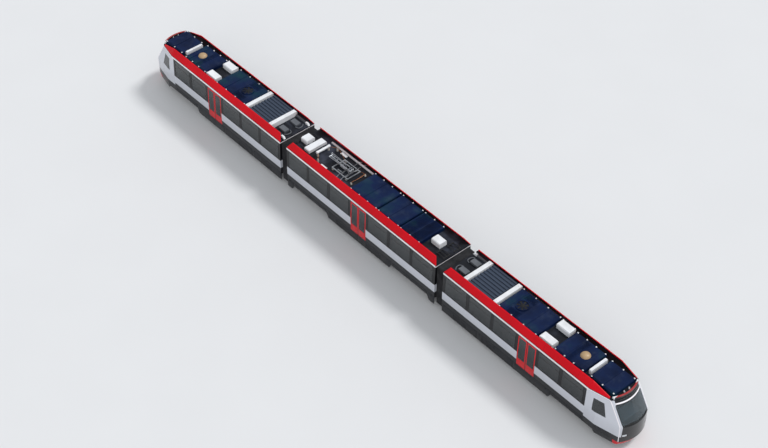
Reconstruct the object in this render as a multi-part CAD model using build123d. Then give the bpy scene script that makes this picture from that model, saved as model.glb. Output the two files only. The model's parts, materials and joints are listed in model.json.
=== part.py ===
from build123d import *
import os
from math import cos, hypot, radians, sin, sqrt

# Half-size model of a three-section articulated metro car, in millimetres. +X points to the
# front cab, +Y to the left and +Z up. The origin is under the middle of the vehicle, level
# with the lowest point of the wheel flanges.

cut_over = 1.0              # cutters run past what they cut by this

# Lengths along the vehicle
pivot_x = 3340.0            # middle of the vehicle to each articulation pivot
end_car_length = 6677.5     # pivot to the tip of the nose
end_setback = 155.0         # pivot to the end face of each body
cab_length = 1250.0         # tip of the nose to the rear wall of the cab
end_bogie_back = 1650.0     # tip of the nose to the middle of the end bogie
middle_bogie_x = 2150.0     # middle of the vehicle to the middle of its inner bogies
door_from_pivot = 3340.0    # pivot to the door of an end car

# Cross-section of the body
half_width = 662.5          # over the walls below the waist
cantrail_half_width = 640.0
wall = 35.0
skirt_z = 150.0
skirt_thickness = 20.0
skirt_gap = 3.0             # between skirt panels
skirt_panel = 1350.0        # longest skirt panel
arch_z = 300.0              # skirt edge over a bogie
arch_length = 1640.0
arch_slope = 80.0
floor_z = 480.0
floor_thickness = 40.0
waist_z = 880.0             # the walls lean in above this
cantrail_z = 1560.0
roof_thickness = 40.0

# Windows and doors
window_sill_z = 905.0
window_head_z = 1500.0
window_post = 90.0
glass = 10.0
door_width = 650.0
door_head_z = 1500.0
door_thickness = 30.0
door_seal = 6.0             # gap between the two leaves
door_stile = 48.0
door_glass_z = 700.0
door_glass_top = 60.0       # head of the leaf to the top of its glass

# Body ends and gangways
end_frame = 35.0
gangway_half_width = 470.0
gangway_head_z = 1490.0
end_sill_z = 370.0
tongue_width = 150.0
tongue_thickness = 32.0
tongue_reach = 420.0        # length of a tongue behind its pivot
pivot_pin_radius = 32.0
running_gap = 0.3           # flat faces of pieces that turn on each other
bellows_half_width = 590.0
bellows_top_z = 1545.0
bellows_bottom_z = 375.0
bellows_chamfer = 70.0
bellows_fold_depth = 30.0
bellows_cloth = 12.0
bellows_folds = 6
bridge_radius = 330.0
bridge_thickness = 8.0

# Roof
fairing_height = 190.0
fairing_lean = 115.0
fairing_thickness = 20.0
fairing_inset = 4.0
fairing_tip_height = 36.0
fairing_slant = 130.0       # the ends at the gangways are cut back by this at the top
brow_height = 62.0
brow_width = 50.0
brow_margin = 60.0          # end of the lip to the corner of the roof

# Cab. Its outline in plan is the same at every level, and slides back above the waist and
# below the bumper's top, so that the windscreen and the apron are raked.
taper_start = 870.0         # tip of the nose to the start of the taper
front_corner = 165.0        # tip of the nose to the front corners
front_corner_y = 508.0
corner_radius = 110.0
screen_rake = 0.6           # slide backwards for each unit of height
apron_rake = 0.5
apron_z = 190.0
bumper_top_z = 330.0
bumper_wrap = 330.0
screen_sill_z = 900.0
screen_head_z = 1440.0
mask_half_low = 465.0       # half width of the dark front at the bumper
mask_half_high = 430.0      # and at the cantrail
front_zone_depth = 700.0    # reaches behind the rake of the front at the roof
lining_points = (0.0, 0.5, 0.85)   # shares of the front's half width where its lining is bent
lining_corner = 105.0       # front corner to the lining's last bend
cab_floor_back = 200.0      # tip of the nose to the front edge of the cab's floor
cab_window_rear = 1010.0    # tip of the nose to the rear edge of the cab's side window
cab_window_length = 420.0
cab_window_rake = 120.0
cab_window_sill_z = 960.0
cab_window_head_z = 1380.0
lamp_y = 385.0
lamp_z = 560.0
lamp_width = 110.0
lamp_height = 70.0
lamp_zone_depth = 400.0     # reaches behind the front's skin
draw_gear_back = 330.0
draw_gear_size = 120.0
draw_gear_z = 240.0
draw_pin_radius = 16.0
draw_pin_depth = 90.0

# Running gear
wheel_sides = 20            # sides of the wheels' outlines
bar_sides = 12              # and of axles, kingpins and springs
ring_sides = 16             # and of bridge plates, fan rims and domes
flange_height = 13.5
tread_radius = 185.0
tyre_width = 66.0
flange_width = 18.0
wheel_back = 340.0          # middle of the axle to the back of a wheel
axle_radius = 36.0
bogie_wheelbase = 950.0
bearing_gap = 0.5
frame_inner_y = 235.0
frame_thickness = 70.0
frame_top_z = 345.0
frame_rise = 120.0          # the frame's top falls from this far behind the axle
axle_box_half = 62.0
transom_length = 220.0
transom_half_width = 540.0
transom_bottom_z = 190.0
transom_top_z = 275.0
kingpin_radius = 45.0
kingpin_gap = 1.0
kingpin_bottom_z = 210.0
air_spring_radius = 80.0
air_spring_y = 450.0
motor_size = 165.0
motor_z = 235.0
motor_far_y = -228.0
motor_near_y = 130.0
gearbox_near_y = 225.0
gearbox_radius = 78.0       # of its casing round the axle

# Pantograph, folded
panto_x = -1050.0           # main shaft
panto_shaft_z = 1684.0
panto_arm = 900.0
panto_rest = 3.0            # angle of the lower arm above the roof, in degrees
panto_sides = 8             # sides of its bars
panto_shaft_radius = 14.0
panto_arm_radius = 18.0
panto_journal_radius = 6.0
panto_pin_radius = 5.0
panto_play = 0.4            # round the pins, in their holes
panto_side_gap = 1.0        # beside the eyes and lugs
panto_frame_half = 250.0
panto_frame_front = 120.0   # forward of the shaft
panto_frame_length = 700.0
panto_frame_drop = 22.0     # shaft to the top of the frame
panto_beam = 26.0
panto_lug_y = 92.0
panto_lug = 16.0            # thickness
panto_lug_half = 22.0
panto_post = 12.0
panto_post_half = 18.0
panto_knee_half = 44.0      # of the cross tube at the knee
panto_upper_y = 62.0
panto_tube_radius = 10.0
panto_eye_half = 9.0        # half thickness of the upper arm's eyes
panto_knee_eye = 18.0
panto_head_eye = 12.0
panto_brace_at = 270.0      # from the knee to the brace between the upper tubes
panto_brace_radius = 7.0
panto_tail = 60.0           # upper arm past the knee, where the coupling rod holds it
panto_tail_turn = 25.0      # the tail is turned up by this angle
panto_tail_radius = 8.0
panto_rod_pivot = (-203.2, 44.0)   # from the main shaft, along X and Z
panto_rod_radius = 8.0
panto_rod_y = 92.0          # outside the upper arm, so that it passes the knee
panto_rod_eye = 15.0
panto_rod_eye_hole = 9.0    # wide round its pin, which the eye drifts from as the arms rise
panto_pin_end = 4.0         # a pin's end past what it holds
panto_crown = 34.0          # top of the contact strips above the head's pivot
panto_head_half = 330.0
panto_horn = 150.0
panto_horn_drop = 55.0
panto_strip_gap = 170.0
panto_strip = 22.0
panto_carrier_y = 30.0
panto_carrier = 16.0
insulator_radius = 24.0
insulator_inset = 60.0      # from the ends of the frame

# Saloon
seat_depth = 230.0
seat_width = 440.0
seat_pitch = 800.0
seat_margin = 50.0          # between a seat and a bulkhead, door or end frame
seat_z = 220.0              # above the floor
seat_back_z = 560.0
seat_back_thickness = 42.0
seat_cushion = 50.0
seat_plinth = 120.0
seat_gap = 1.0              # between the walls and what stands along them
bulkhead = 25.0

# Desk and driver's seat, columns: distance forward of the piece's place, height above the floor
desk_back = 640.0           # tip of the nose to the desk's foot
desk_half_width = 400.0
desk_profile = [
    (0.0, 0.0),
    (320.0, 0.0),
    (350.0, 350.0),
    (60.0, 300.0),
    (-40.0, 270.0),
]
driver_seat_place = 260.0   # forward of the cab's rear wall
driver_seat_half_width = 120.0
driver_seat_profile = [
    (60.0, 0.0),
    (180.0, 0.0),
    (180.0, 180.0),
    (250.0, 190.0),
    (250.0, 240.0),
    (40.0, 230.0),
    (-20.0, 600.0),
    (-60.0, 595.0),
    (-20.0, 180.0),
    (60.0, 170.0),
]

# Boxes under the floor. In an end car they follow one another from the bogie's arch towards the
# pivot, and in the middle car from the middle outwards.
# columns: length, inner and outer y, lowest z
end_car_boxes = [
    (400.0, 120.0, 560.0, 215.0),
    (1280.0, 120.0, 560.0, 235.0),
    (1080.0, 120.0, 560.0, 215.0),
]
middle_boxes = [
    (1080.0, 120.0, 560.0, 215.0),
]
box_gap = 90.0

nose_x = pivot_x + end_car_length
cab_x = nose_x - cab_length
body_end_x = pivot_x - end_setback
end_body_x = pivot_x + end_setback
axle_z = tread_radius + flange_height
floor_bottom_z = floor_z - floor_thickness
roof_z = cantrail_z + roof_thickness


def box(x0, x1, y0, y1, z0, z1):
    return Pos((x0 + x1) / 2, (y0 + y1) / 2, (z0 + z1) / 2) * Box(x1 - x0, y1 - y0, z1 - z0)


def prism_x(points, x0, x1):
    """A prism along X from an outline of (y, z) points."""
    face = Plane.YZ.offset(x0) * make_face(Polyline(*points, close=True))
    return extrude(face, amount=x1 - x0)


def prism_y(points, y0, y1):
    """A prism along Y from an outline of (x, z) points."""
    face = Plane.XZ.offset(-y0) * make_face(Polyline(*points, close=True))
    return extrude(face, amount=y0 - y1)


def round_outline(radius, sides, hole=False):
    """A regular outline for a round bar, or for its hole, whose flats then face the bar's corners."""
    return RegularPolygon(radius, sides, major_radius=not hole, rotation=180.0 / sides if hole else 0)


def bar_z(x, y, radius, z0, z1, sides=bar_sides, hole=False):
    return extrude(Pos(x, y, z0) * round_outline(radius, sides, hole), amount=z1 - z0)


def bar_y(x, z, radius, y0, y1, sides=bar_sides, hole=False):
    plane = Plane(origin=(x, y0, z), x_dir=(1, 0, 0), z_dir=(0, 1, 0))
    return extrude(plane * round_outline(radius, sides, hole), amount=y1 - y0)


def bar_between(start, end, radius, sides):
    """A straight bar between two points."""
    start, end = Vector(*start), Vector(*end)
    plane = Plane(origin=start, z_dir=end - start)
    return extrude(plane * RegularPolygon(radius, sides), amount=(end - start).length)


def both_sides(solids):
    return solids + [mirror(solid, about=Plane.XZ) for solid in solids]


def turned(solids):
    """The same solids at the other end of the vehicle."""
    return [Rot(Z=180) * solid for solid in solids]


def solids_of(shape):
    return list(shape.solids())


def wall_y(z):
    """Half width over the walls at a level."""
    if z <= waist_z:
        return half_width
    lean = (half_width - cantrail_half_width) / (cantrail_z - waist_z)
    return half_width - lean * (z - waist_z)


def wall_strip(thickness, x0, x1, z0, z1):
    """The outer layer of the left wall, of the given thickness, between two stations."""
    levels = [z0] + [z for z in (waist_z,) if z0 < z < z1] + [z1]
    outer = [(wall_y(z), z) for z in levels]
    inner = [(wall_y(z) - thickness, z) for z in reversed(levels)]
    return prism_x(outer + inner, x0, x1)


def window_spans(start, end, count):
    """Equal windows between two stations, with a post at each end and between them."""
    pitch = (end - start - window_post) / count
    return [(start + window_post + i * pitch, start + (i + 1) * pitch) for i in range(count)]


def arch_cutter(x):
    half = arch_length / 2
    low = skirt_z - cut_over
    top = half - arch_slope
    outline = [(x - half, low), (x - top, arch_z), (x + top, arch_z), (x + half, low)]
    return prism_y(outline, 0, half_width + cut_over)


def skirts(x0, x1, bogies):
    """Skirt panels under the left wall: cut away over the bogies and parted by narrow gaps."""
    strip = wall_strip(skirt_thickness, x0, x1, skirt_z, floor_bottom_z)
    over_arch = arch_length / 2 - arch_slope
    seams = []
    for x in bogies:
        strip -= arch_cutter(x)
        seams += [x - over_arch, x + over_arch]
    ends = [x0] + sorted(x for x in seams if x0 < x < x1) + [x1]
    for start, end in zip(ends, ends[1:]):
        count = max(1, round((end - start) / skirt_panel))
        seams += [start + (end - start) * i / count for i in range(1, count)]
    for x in seams:
        half = skirt_gap / 2
        strip -= box(x - half, x + half, 0, half_width + cut_over, skirt_z - cut_over, floor_bottom_z)
    return solids_of(strip)


def side_panels(x0, x1, windows, door_x):
    """Left wall, its glass and its two door leaves."""
    door_half = door_width / 2
    panel = wall_strip(wall, x0, x1, floor_bottom_z, cantrail_z)
    panes = []
    for a, b in windows:
        panel -= box(a, b, 0, half_width + cut_over, window_sill_z, window_head_z)
        panes.append(wall_strip(glass, a, b, window_sill_z, window_head_z))
    panel -= box(door_x - door_half, door_x + door_half, 0, half_width + cut_over, floor_bottom_z, door_head_z)
    leaves = []
    glass_top = door_head_z - door_glass_top
    seal = door_seal / 2
    for a, b in ((door_x - door_half, door_x - seal), (door_x + seal, door_x + door_half)):
        leaf = wall_strip(door_thickness, a, b, floor_bottom_z, door_head_z)
        leaf -= box(a + door_stile, b - door_stile, 0, half_width + cut_over, door_glass_z, glass_top)
        leaves.append(leaf)
        panes.append(wall_strip(glass, a + door_stile, b - door_stile, door_glass_z, glass_top))
    return solids_of(panel), panes, leaves


def end_frame_solids(x0, x1):
    """The frame at a gangway: two posts, a head, and a sill each side of the tongue."""
    inner = [(wall_y(z) - wall, z) for z in (floor_z, waist_z, cantrail_z)]
    post = prism_x([(gangway_half_width, floor_z)] + inner + [(gangway_half_width, cantrail_z)], x0, x1)
    head = box(x0, x1, -gangway_half_width, gangway_half_width, gangway_head_z, cantrail_z)
    sill = box(x0, x1, tongue_width / 2, half_width - wall, end_sill_z, floor_bottom_z)
    return both_sides([post, sill]) + [head]


def cab_plan(rear_x, inset=0.0):
    """Outline of the vehicle's end in plan: straight sides, tapers, round corners, bowed front."""
    taper_x, corner_x = nose_x - taper_start, nose_x - front_corner
    edges = [
        Line((rear_x, -half_width), (taper_x, -half_width)),
        Line((taper_x, -half_width), (corner_x, -front_corner_y)),
        ThreePointArc((corner_x, -front_corner_y), (nose_x, 0), (corner_x, front_corner_y)),
        Line((corner_x, front_corner_y), (taper_x, half_width)),
        Line((taper_x, half_width), (rear_x, half_width)),
        Line((rear_x, half_width), (rear_x, -half_width)),
    ]
    plan = make_face(edges)
    plan = fillet(plan.vertices().group_by(Axis.X)[-1], corner_radius)
    return offset(plan, -inset) if inset else plan


def lining_plan(rear_x):
    """Outline of the space inside the cab's walls, in flat panels just inside the skin."""
    radius = (front_corner_y**2 + front_corner**2) / (2 * front_corner)
    slope = (half_width - front_corner_y) / (taper_start - front_corner)
    bend_y = front_corner_y + slope * lining_corner - wall * hypot(1.0, slope)
    points = [(nose_x - radius + sqrt((radius - wall) ** 2 - y**2), y)
              for y in (share * front_corner_y for share in lining_points)]
    points.append((nose_x - front_corner - lining_corner, bend_y))
    points.append((nose_x - taper_start, half_width - wall))
    points.append((rear_x, half_width - wall))
    mirrored = [(x, -y) for x, y in reversed(points[1:])]
    return make_face(Polyline(*points, *mirrored, close=True))


def slid(plan, z, height, rake):
    """The plan extruded from a level, up or down, sliding backwards by its rake as it goes."""
    step = Vector(-rake, 0, 1 if height > 0 else -1)
    return extrude(Pos(0, 0, z) * plan, amount=abs(height) * step.length, dir=step)


def cab_solid(inset, overrun):
    """The cab's outer form, or its inner one where an inset is given, run on past top and bottom."""
    rear_x = cab_x - 2 * inset
    plan = lining_plan(rear_x) if inset == wall else cab_plan(rear_x, inset)
    form = slid(plan, waist_z, cantrail_z - waist_z + overrun, screen_rake)
    form += slid(plan, bumper_top_z, waist_z - bumper_top_z, 0.0)
    form += slid(plan, bumper_top_z, apron_z - bumper_top_z - overrun, apron_rake)
    levels = (apron_z - overrun, waist_z, cantrail_z + overrun)
    section = [(wall_y(z) - inset, z) for z in levels]
    section += [(-y, z) for y, z in reversed(section)]
    return form & prism_x(section, rear_x, nose_x + cut_over)


def mask_half(z):
    share = (z - bumper_top_z) / (cantrail_z - bumper_top_z)
    return mask_half_low + share * (mask_half_high - mask_half_low)


def front_zone(z0, z1):
    """A prism that covers the front between the corner pillars."""
    low, high = mask_half(z0), mask_half(z1)
    return prism_x([(-low, z0), (low, z0), (high, z1), (-high, z1)], nose_x - front_zone_depth, nose_x + cut_over)


def cab_pieces():
    """Shell, windscreen, side windows, dark front, bumper and lamps of the front cab."""
    outer = cab_solid(0.0, 0.0)
    skin = outer - cab_solid(wall, wall)
    glazing = outer - cab_solid(glass, glass)
    bumper_zone = box(nose_x - bumper_wrap, nose_x + cut_over, -half_width, half_width, 0, bumper_top_z)
    rear = nose_x - cab_window_rear
    front = rear + cab_window_length
    window = [
        (rear, cab_window_sill_z),
        (front, cab_window_sill_z),
        (front - cab_window_rake, cab_window_head_z),
        (rear, cab_window_head_z),
    ]
    window_zone = prism_y(window, -half_width - cut_over, half_width + cut_over)
    arch = arch_cutter(nose_x - end_bogie_back)
    shell = skin - front_zone(bumper_top_z, cantrail_z) - bumper_zone - window_zone
    shell = shell - arch - mirror(arch, about=Plane.XZ)
    lamp = box(
        nose_x - lamp_zone_depth,
        nose_x,
        lamp_y - lamp_width / 2,
        lamp_y + lamp_width / 2,
        lamp_z - lamp_height / 2,
        lamp_z + lamp_height / 2,
    )
    lamp_zones = both_sides([lamp])
    mask = skin & front_zone(bumper_top_z, screen_sill_z)
    lamps = []
    for zone in lamp_zones:
        lamps += solids_of(mask & zone)
        mask = mask - zone
    display = skin & front_zone(screen_head_z, cantrail_z)
    return {
        "cab": solids_of(shell),
        "windscreen": solids_of(glazing & front_zone(screen_sill_z, screen_head_z)),
        "cab_windows": solids_of(glazing & window_zone),
        "mask": solids_of(mask) + solids_of(display),
        "bumper": solids_of(skin & bumper_zone),
        "lamps": lamps,
    }


def bogie_mount(x):
    """The kingpin under the floor of a car."""
    return bar_z(x, 0, kingpin_radius, kingpin_bottom_z, floor_bottom_z)


def under_boxes(rows, start, step):
    """Closed boxes on each side under the floor, one after another from a station."""
    boxes = []
    for length, inner, outer, low in rows:
        start += step * box_gap
        x0, x1 = sorted((start, start + step * length))
        boxes.append(box(x0, x1, inner, outer, low, floor_bottom_z))
        start += step * length
    return both_sides(boxes)


def tongue_at_pivot(z0, z1):
    """Rounded end of a tongue, centred on the front pivot."""
    return bar_z(pivot_x, 0, tongue_width / 2, z0, z1)


def end_underframe():
    """Floor of the front car with its tongue, kingpin, draw gear and boxes."""
    floor_y = half_width - wall
    floor = box(end_body_x, cab_x, -floor_y, floor_y, floor_bottom_z, floor_z)
    plan = offset(lining_plan(cab_x - wall), -seat_gap)
    cab_floor = extrude(Pos(0, 0, floor_bottom_z) * plan, amount=floor_thickness)
    cab_floor &= box(cab_x, nose_x - cab_floor_back, -floor_y, floor_y, floor_bottom_z, floor_z)
    low, top = floor_bottom_z + running_gap, floor_z - bridge_thickness
    half = tongue_width / 2
    tongue = box(pivot_x, end_body_x, -half, half, low, top) + tongue_at_pivot(low, top)
    tongue += bar_z(pivot_x, 0, pivot_pin_radius, floor_bottom_z - tongue_thickness, top)
    front = nose_x - draw_gear_back
    half = draw_gear_size / 2
    draw_gear = box(front, front + draw_gear_size, -half, half, draw_gear_z, floor_bottom_z)
    bore = Cylinder(draw_pin_radius, draw_pin_depth, align=(Align.CENTER, Align.CENTER, Align.MIN))
    draw_gear -= Pos(front + half, 0, draw_gear_z) * bore
    bogie_x = nose_x - end_bogie_back
    boxes = under_boxes(end_car_boxes, bogie_x - arch_length / 2, -1)
    return [floor + cab_floor, tongue, bogie_mount(bogie_x), draw_gear] + boxes


def middle_underframe():
    """Floor of the middle car with a tongue and a bridge plate at each pivot."""
    floor_y = half_width - wall
    floor = box(-body_end_x, body_end_x, -floor_y, floor_y, floor_bottom_z, floor_z)
    low = floor_bottom_z - tongue_thickness
    half = tongue_width / 2
    tongue = box(pivot_x - tongue_reach, pivot_x, -half, half, low, floor_bottom_z)
    tongue += tongue_at_pivot(low, floor_bottom_z)
    tongue -= bar_z(pivot_x, 0, pivot_pin_radius + kingpin_gap, low, floor_bottom_z, hole=True)
    plate_z = floor_z + running_gap
    bridge = bar_z(pivot_x, 0, bridge_radius, plate_z, plate_z + bridge_thickness, ring_sides)
    ends = [tongue, bridge]
    kingpins = [bogie_mount(middle_bogie_x), bogie_mount(-middle_bogie_x)]
    boxes = under_boxes(middle_boxes, 0.0, 1)
    return [floor] + ends + turned(ends) + kingpins + boxes + turned(boxes)


def fairing_section(x, edge_y):
    """Section of a roof-edge fairing at a station, as a face."""
    foot = edge_y - fairing_inset
    points = [
        (foot, roof_z),
        (foot - fairing_lean, roof_z + fairing_height),
        (foot - fairing_lean - fairing_thickness, roof_z + fairing_height),
        (foot - fairing_thickness, roof_z),
    ]
    return Plane.YZ.offset(x) * make_face(Polyline(*points, close=True))


def slant_cutter(x, step):
    """A wedge that cuts a fairing back towards its top, from its end at a gangway."""
    top = roof_z + fairing_height
    return prism_y([(x, roof_z), (x, top), (x + step * fairing_slant, top)], 0, half_width)


def middle_fairing():
    fairing = extrude(fairing_section(-body_end_x, cantrail_half_width), amount=2 * body_end_x)
    return fairing - slant_cutter(-body_end_x, 1) - slant_cutter(body_end_x, -1)


def roof_plan(z):
    """The end car's outline at the roof."""
    slide = screen_rake * (cantrail_z - waist_z)
    over = box(end_body_x, nose_x, -cantrail_half_width, cantrail_half_width, z - cut_over, z + roof_z)
    return Pos(-slide, 0, z) * cab_plan(end_body_x + slide), over


def end_fairing():
    """Fairing of the front car: straight, then drawn in and down to a tip at the cab's corner."""
    slide = screen_rake * (cantrail_z - waist_z)
    slope = (half_width - front_corner_y) / (taper_start - front_corner)
    bend_x = nose_x - taper_start - slide + (half_width - cantrail_half_width) / slope
    reach = nose_x - slide - front_corner - brow_width - bend_x
    fairing = extrude(fairing_section(end_body_x, cantrail_half_width), amount=bend_x - end_body_x)
    along = Vector(reach, -slope * reach, 0)
    fairing += extrude(fairing_section(bend_x, cantrail_half_width), amount=along.length, dir=along)
    top = roof_z + fairing_height
    falling = [(bend_x, top), (bend_x + reach, top), (bend_x + reach, roof_z + fairing_tip_height)]
    return fairing - prism_y(falling, 0, half_width) - slant_cutter(end_body_x, 1)


def end_roof():
    plan, over = roof_plan(cantrail_z)
    return [extrude(plan, amount=roof_thickness) & over]


def brow():
    """Curved lip across the front edge of the roof."""
    plan, _ = roof_plan(roof_z)
    half = front_corner_y - brow_margin
    band = extrude(plan - Pos(-brow_width, 0, 0) * plan, amount=brow_height)
    return band & box(cab_x, nose_x, -half, half, roof_z - cut_over, roof_z + brow_height)


# Roof equipment, each row a box on the roof.
# columns: start and end from the nose tip (end car) or the middle (middle car), inner and
# outer y, height; an inner y of 0 gives one box across both sides
end_car_units = [
    (580.0, 1400.0, 0.0, 395.0, 96.0),
    (1600.0, 2630.0, 0.0, 430.0, 110.0),
    (3230.0, 4630.0, 0.0, 470.0, 120.0),
]
louvred_unit = (4860.0, 5760.0, 0.0, 470.0, 130.0)
end_car_cases = [
    (1450.0, 1530.0, 0.0, 300.0, 150.0),
    (2700.0, 3150.0, 190.0, 440.0, 150.0),
    (4680.0, 4810.0, 0.0, 488.0, 158.0),
    (5790.0, 5920.0, 0.0, 488.0, 158.0),
]
middle_units = [
    (-560.0, 560.0, 0.0, 470.0, 125.0),
    (620.0, 1480.0, 0.0, 470.0, 125.0),
    (1540.0, 2330.0, 0.0, 470.0, 118.0),
]
middle_cases = [
    (2450.0, 2780.0, 0.0, 130.0, 165.0),
    (-3120.0, -2860.0, 0.0, 150.0, 150.0),
    (-2760.0, -2540.0, 0.0, 330.0, 96.0),
]
unit_chamfer = 22.0
louvre_slots = 8
louvre_depth = 26.0
fan_unit = 2                # row of the long unit that carries the fan
fan_place = 960.0           # from that unit's front end
fan_radius = 190.0
fan_height = 26.0
fan_rim = 22.0
dome_unit = 1               # row of the unit that carries the aerial's dome
dome_place = 332.0          # from that unit's front end
dome_radius = 130.0
dome_rim = 14.0
dome_height = 68.0
dome_slope = 52.0           # of its sides, away from upright, in degrees
end_cap_length = 150.0      # white ends of the cable ducts, beside the fairings' feet
end_cap_width = 60.0
end_cap_height = 62.0
end_cap_nose = 45.0
end_cap_gap = 20.0          # to the fairing


def roof_boxes(rows, origin, step):
    """Boxes on the roof with their upper long edges chamfered."""
    solids = []
    for start, end, inner, outer, height in rows:
        x0, x1 = sorted((origin + step * start, origin + step * end))
        top = roof_z + height
        low = -outer if inner == 0 else inner
        points = [
            (low, roof_z),
            (outer, roof_z),
            (outer, top - unit_chamfer),
            (outer - unit_chamfer, top),
            (low + unit_chamfer, top),
            (low, top - unit_chamfer),
        ]
        unit = prism_x(points, x0, x1)
        solids += [unit] if inner == 0 else both_sides([unit])
    return solids


def louvres(row):
    """The resistor unit: a box whose top has slots along the vehicle between its ribs."""
    start, end, _, outer, height = row
    top = roof_z + height
    pitch = 2 * outer / (2 * louvre_slots + 1)
    points = [(-outer, roof_z), (outer, roof_z)]
    for i in range(louvre_slots):
        y = outer - (2 * i + 1) * pitch
        points += [(y + pitch, top), (y, top), (y, top - louvre_depth), (y - pitch, top - louvre_depth)]
    points += [(-outer + pitch, top), (-outer, top)]
    return prism_x(points, nose_x - end, nose_x - start)


def fan_ring():
    """The fan's rim on the long unit."""
    start, _, _, _, height = end_car_units[fan_unit]
    x = nose_x - start - fan_place
    low = roof_z + height
    ring = bar_z(x, 0, fan_radius, low, low + fan_height, ring_sides)
    return ring - bar_z(x, 0, fan_radius - fan_rim, low, low + fan_height, ring_sides)


def aerial_dome():
    """The aerial's low dome on its unit, on a short upright rim."""
    start, _, _, _, height = end_car_units[dome_unit]
    x = nose_x - start - dome_place
    low = roof_z + height
    rim = bar_z(x, 0, dome_radius, low, low + dome_rim, ring_sides)
    top = Pos(x, 0, low + dome_rim) * round_outline(dome_radius, ring_sides)
    return rim + extrude(top, amount=dome_height - dome_rim, taper=dome_slope)


def end_caps():
    """Sloping end of the cable duct at each side of the roof, by the gangway."""
    outer = cantrail_half_width - fairing_inset - fairing_thickness - fairing_lean - end_cap_gap
    x = end_body_x
    outline = [
        (x, roof_z),
        (x + end_cap_length, roof_z),
        (x + end_cap_length, roof_z + end_cap_height),
        (x + end_cap_nose, roof_z + end_cap_height),
    ]
    return both_sides([prism_y(outline, outer - end_cap_width, outer)])


def seat_stations(start, end):
    """Middles of the seats that fit between two stations."""
    room = end - start - 2 * (seat_depth + seat_margin)
    count = int(room // seat_pitch) + 1
    first = (start + end - (count - 1) * seat_pitch) / 2
    return [first + i * seat_pitch for i in range(count)]


def saloon_seats(stations):
    """Back-to-back double seats on each side of the aisle, each one a solid on the floor."""
    wall_face = half_width - wall - seat_gap
    half = seat_back_thickness / 2
    seat_top = floor_z + seat_z
    cushion_low = seat_top - seat_cushion
    units = []
    for x in stations:
        right = [
            (x + seat_plinth / 2, floor_z),
            (x + seat_depth, cushion_low),
            (x + seat_depth, seat_top),
            (x + seat_back_thickness, seat_top),
            (x + half, floor_z + seat_back_z),
        ]
        outline = right + [(2 * x - px, pz) for px, pz in reversed(right)]
        units.append(prism_y(outline, wall_face - seat_width, wall_face))
    return both_sides(units)


def cab_interior():
    """Bulkhead, desk and driver's seat."""
    inner = [(wall_y(z) - wall, z) for z in (floor_z, waist_z, cantrail_z)]
    outline = inner + [(-y, z) for y, z in reversed(inner)]
    plate = prism_x(outline, cab_x - bulkhead, cab_x)
    desk_x, seat_x = nose_x - desk_back, cab_x + driver_seat_place
    desk_outline = [(desk_x + px, floor_z + pz) for px, pz in desk_profile]
    seat_outline = [(seat_x + px, floor_z + pz) for px, pz in driver_seat_profile]
    desk = prism_y(desk_outline, -desk_half_width, desk_half_width)
    seat = prism_y(seat_outline, -driver_seat_half_width, driver_seat_half_width)
    return [plate, desk, seat]


def bellows_ring(x, shrink):
    """The bellows' outline at a station, drawn in by an amount, as a face."""
    y, cut = bellows_half_width - shrink, bellows_chamfer
    low, top = bellows_bottom_z + shrink - bellows_fold_depth, bellows_top_z - shrink
    right = [(y - cut, low), (y, low + cut), (y, top - cut), (y - cut, top)]
    points = right + [(-py, pz) for py, pz in reversed(right)]
    return Plane.YZ.offset(x) * make_face(Polyline(*points, close=True))


def bellows():
    """Concertina tube around the gangway at the front pivot, smooth inside."""
    steps = 2 * bellows_folds
    start, end = body_end_x + running_gap, end_body_x - running_gap
    pitch = (end - start) / steps
    rings = [
        bellows_ring(start + i * pitch, 0.0 if i % 2 else bellows_fold_depth)
        for i in range(steps + 1)
    ]
    passage = extrude(bellows_ring(start, bellows_fold_depth + bellows_cloth), amount=end - start)
    return [loft(rings, ruled=True) - passage]


def wheelset(x):
    """Two flanged wheels on an axle across the track."""
    flange_radius = tread_radius + flange_height
    wheel = bar_y(x, axle_z, flange_radius, wheel_back, wheel_back + flange_width, wheel_sides)
    wheel += bar_y(x, axle_z, tread_radius, wheel_back, wheel_back + tyre_width, wheel_sides)
    return both_sides([wheel]) + [bar_y(x, axle_z, axle_radius, -wheel_back, wheel_back)]


def bogie(x, powered):
    """Frames inside the wheels, transom with its springs, and the drives of a powered bogie."""
    axle = bogie_wheelbase / 2
    low, high = axle_z - axle_box_half, axle_z + axle_box_half
    right = [
        (axle - axle_box_half - (transom_top_z - high), transom_top_z),
        (axle - axle_box_half, high),
        (axle - axle_box_half, low),
        (axle + axle_box_half, low),
        (axle + axle_box_half, high),
        (axle - frame_rise, frame_top_z),
    ]
    outline = right + [(-px, pz) for px, pz in reversed(right)]
    side = prism_y(outline, frame_inner_y, frame_inner_y + frame_thickness)
    hole = axle_radius + bearing_gap
    for axle_x in (-axle, axle):
        side -= bar_y(axle_x, axle_z, hole, frame_inner_y, frame_inner_y + frame_thickness, hole=True)
    spring_top = floor_bottom_z - running_gap
    air_spring = bar_z(0, air_spring_y, air_spring_radius, transom_top_z, spring_top)
    half = transom_length / 2
    transom = box(-half, half, -transom_half_width, transom_half_width, transom_bottom_z, transom_top_z)
    transom -= bar_z(0, 0, kingpin_radius + kingpin_gap, transom_bottom_z, transom_top_z, hole=True)
    solids = both_sides([side, air_spring]) + [transom]
    if powered:
        drive = [motor(half + motor_size / 2), gearbox(half, axle, hole)]
        solids += drive + turned(drive)
    return [Pos(x, 0, 0) * solid for solid in solids]


def motor(x):
    """Octagonal traction motor across the bogie."""
    size, cut = motor_size / 2, motor_size / 4
    right = [(cut, size), (size, cut), (size, -cut), (cut, -size)]
    outline = right + [(-px, pz) for px, pz in reversed(right)]
    return prism_y([(x + px, motor_z + pz) for px, pz in outline], motor_far_y, motor_near_y)


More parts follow.
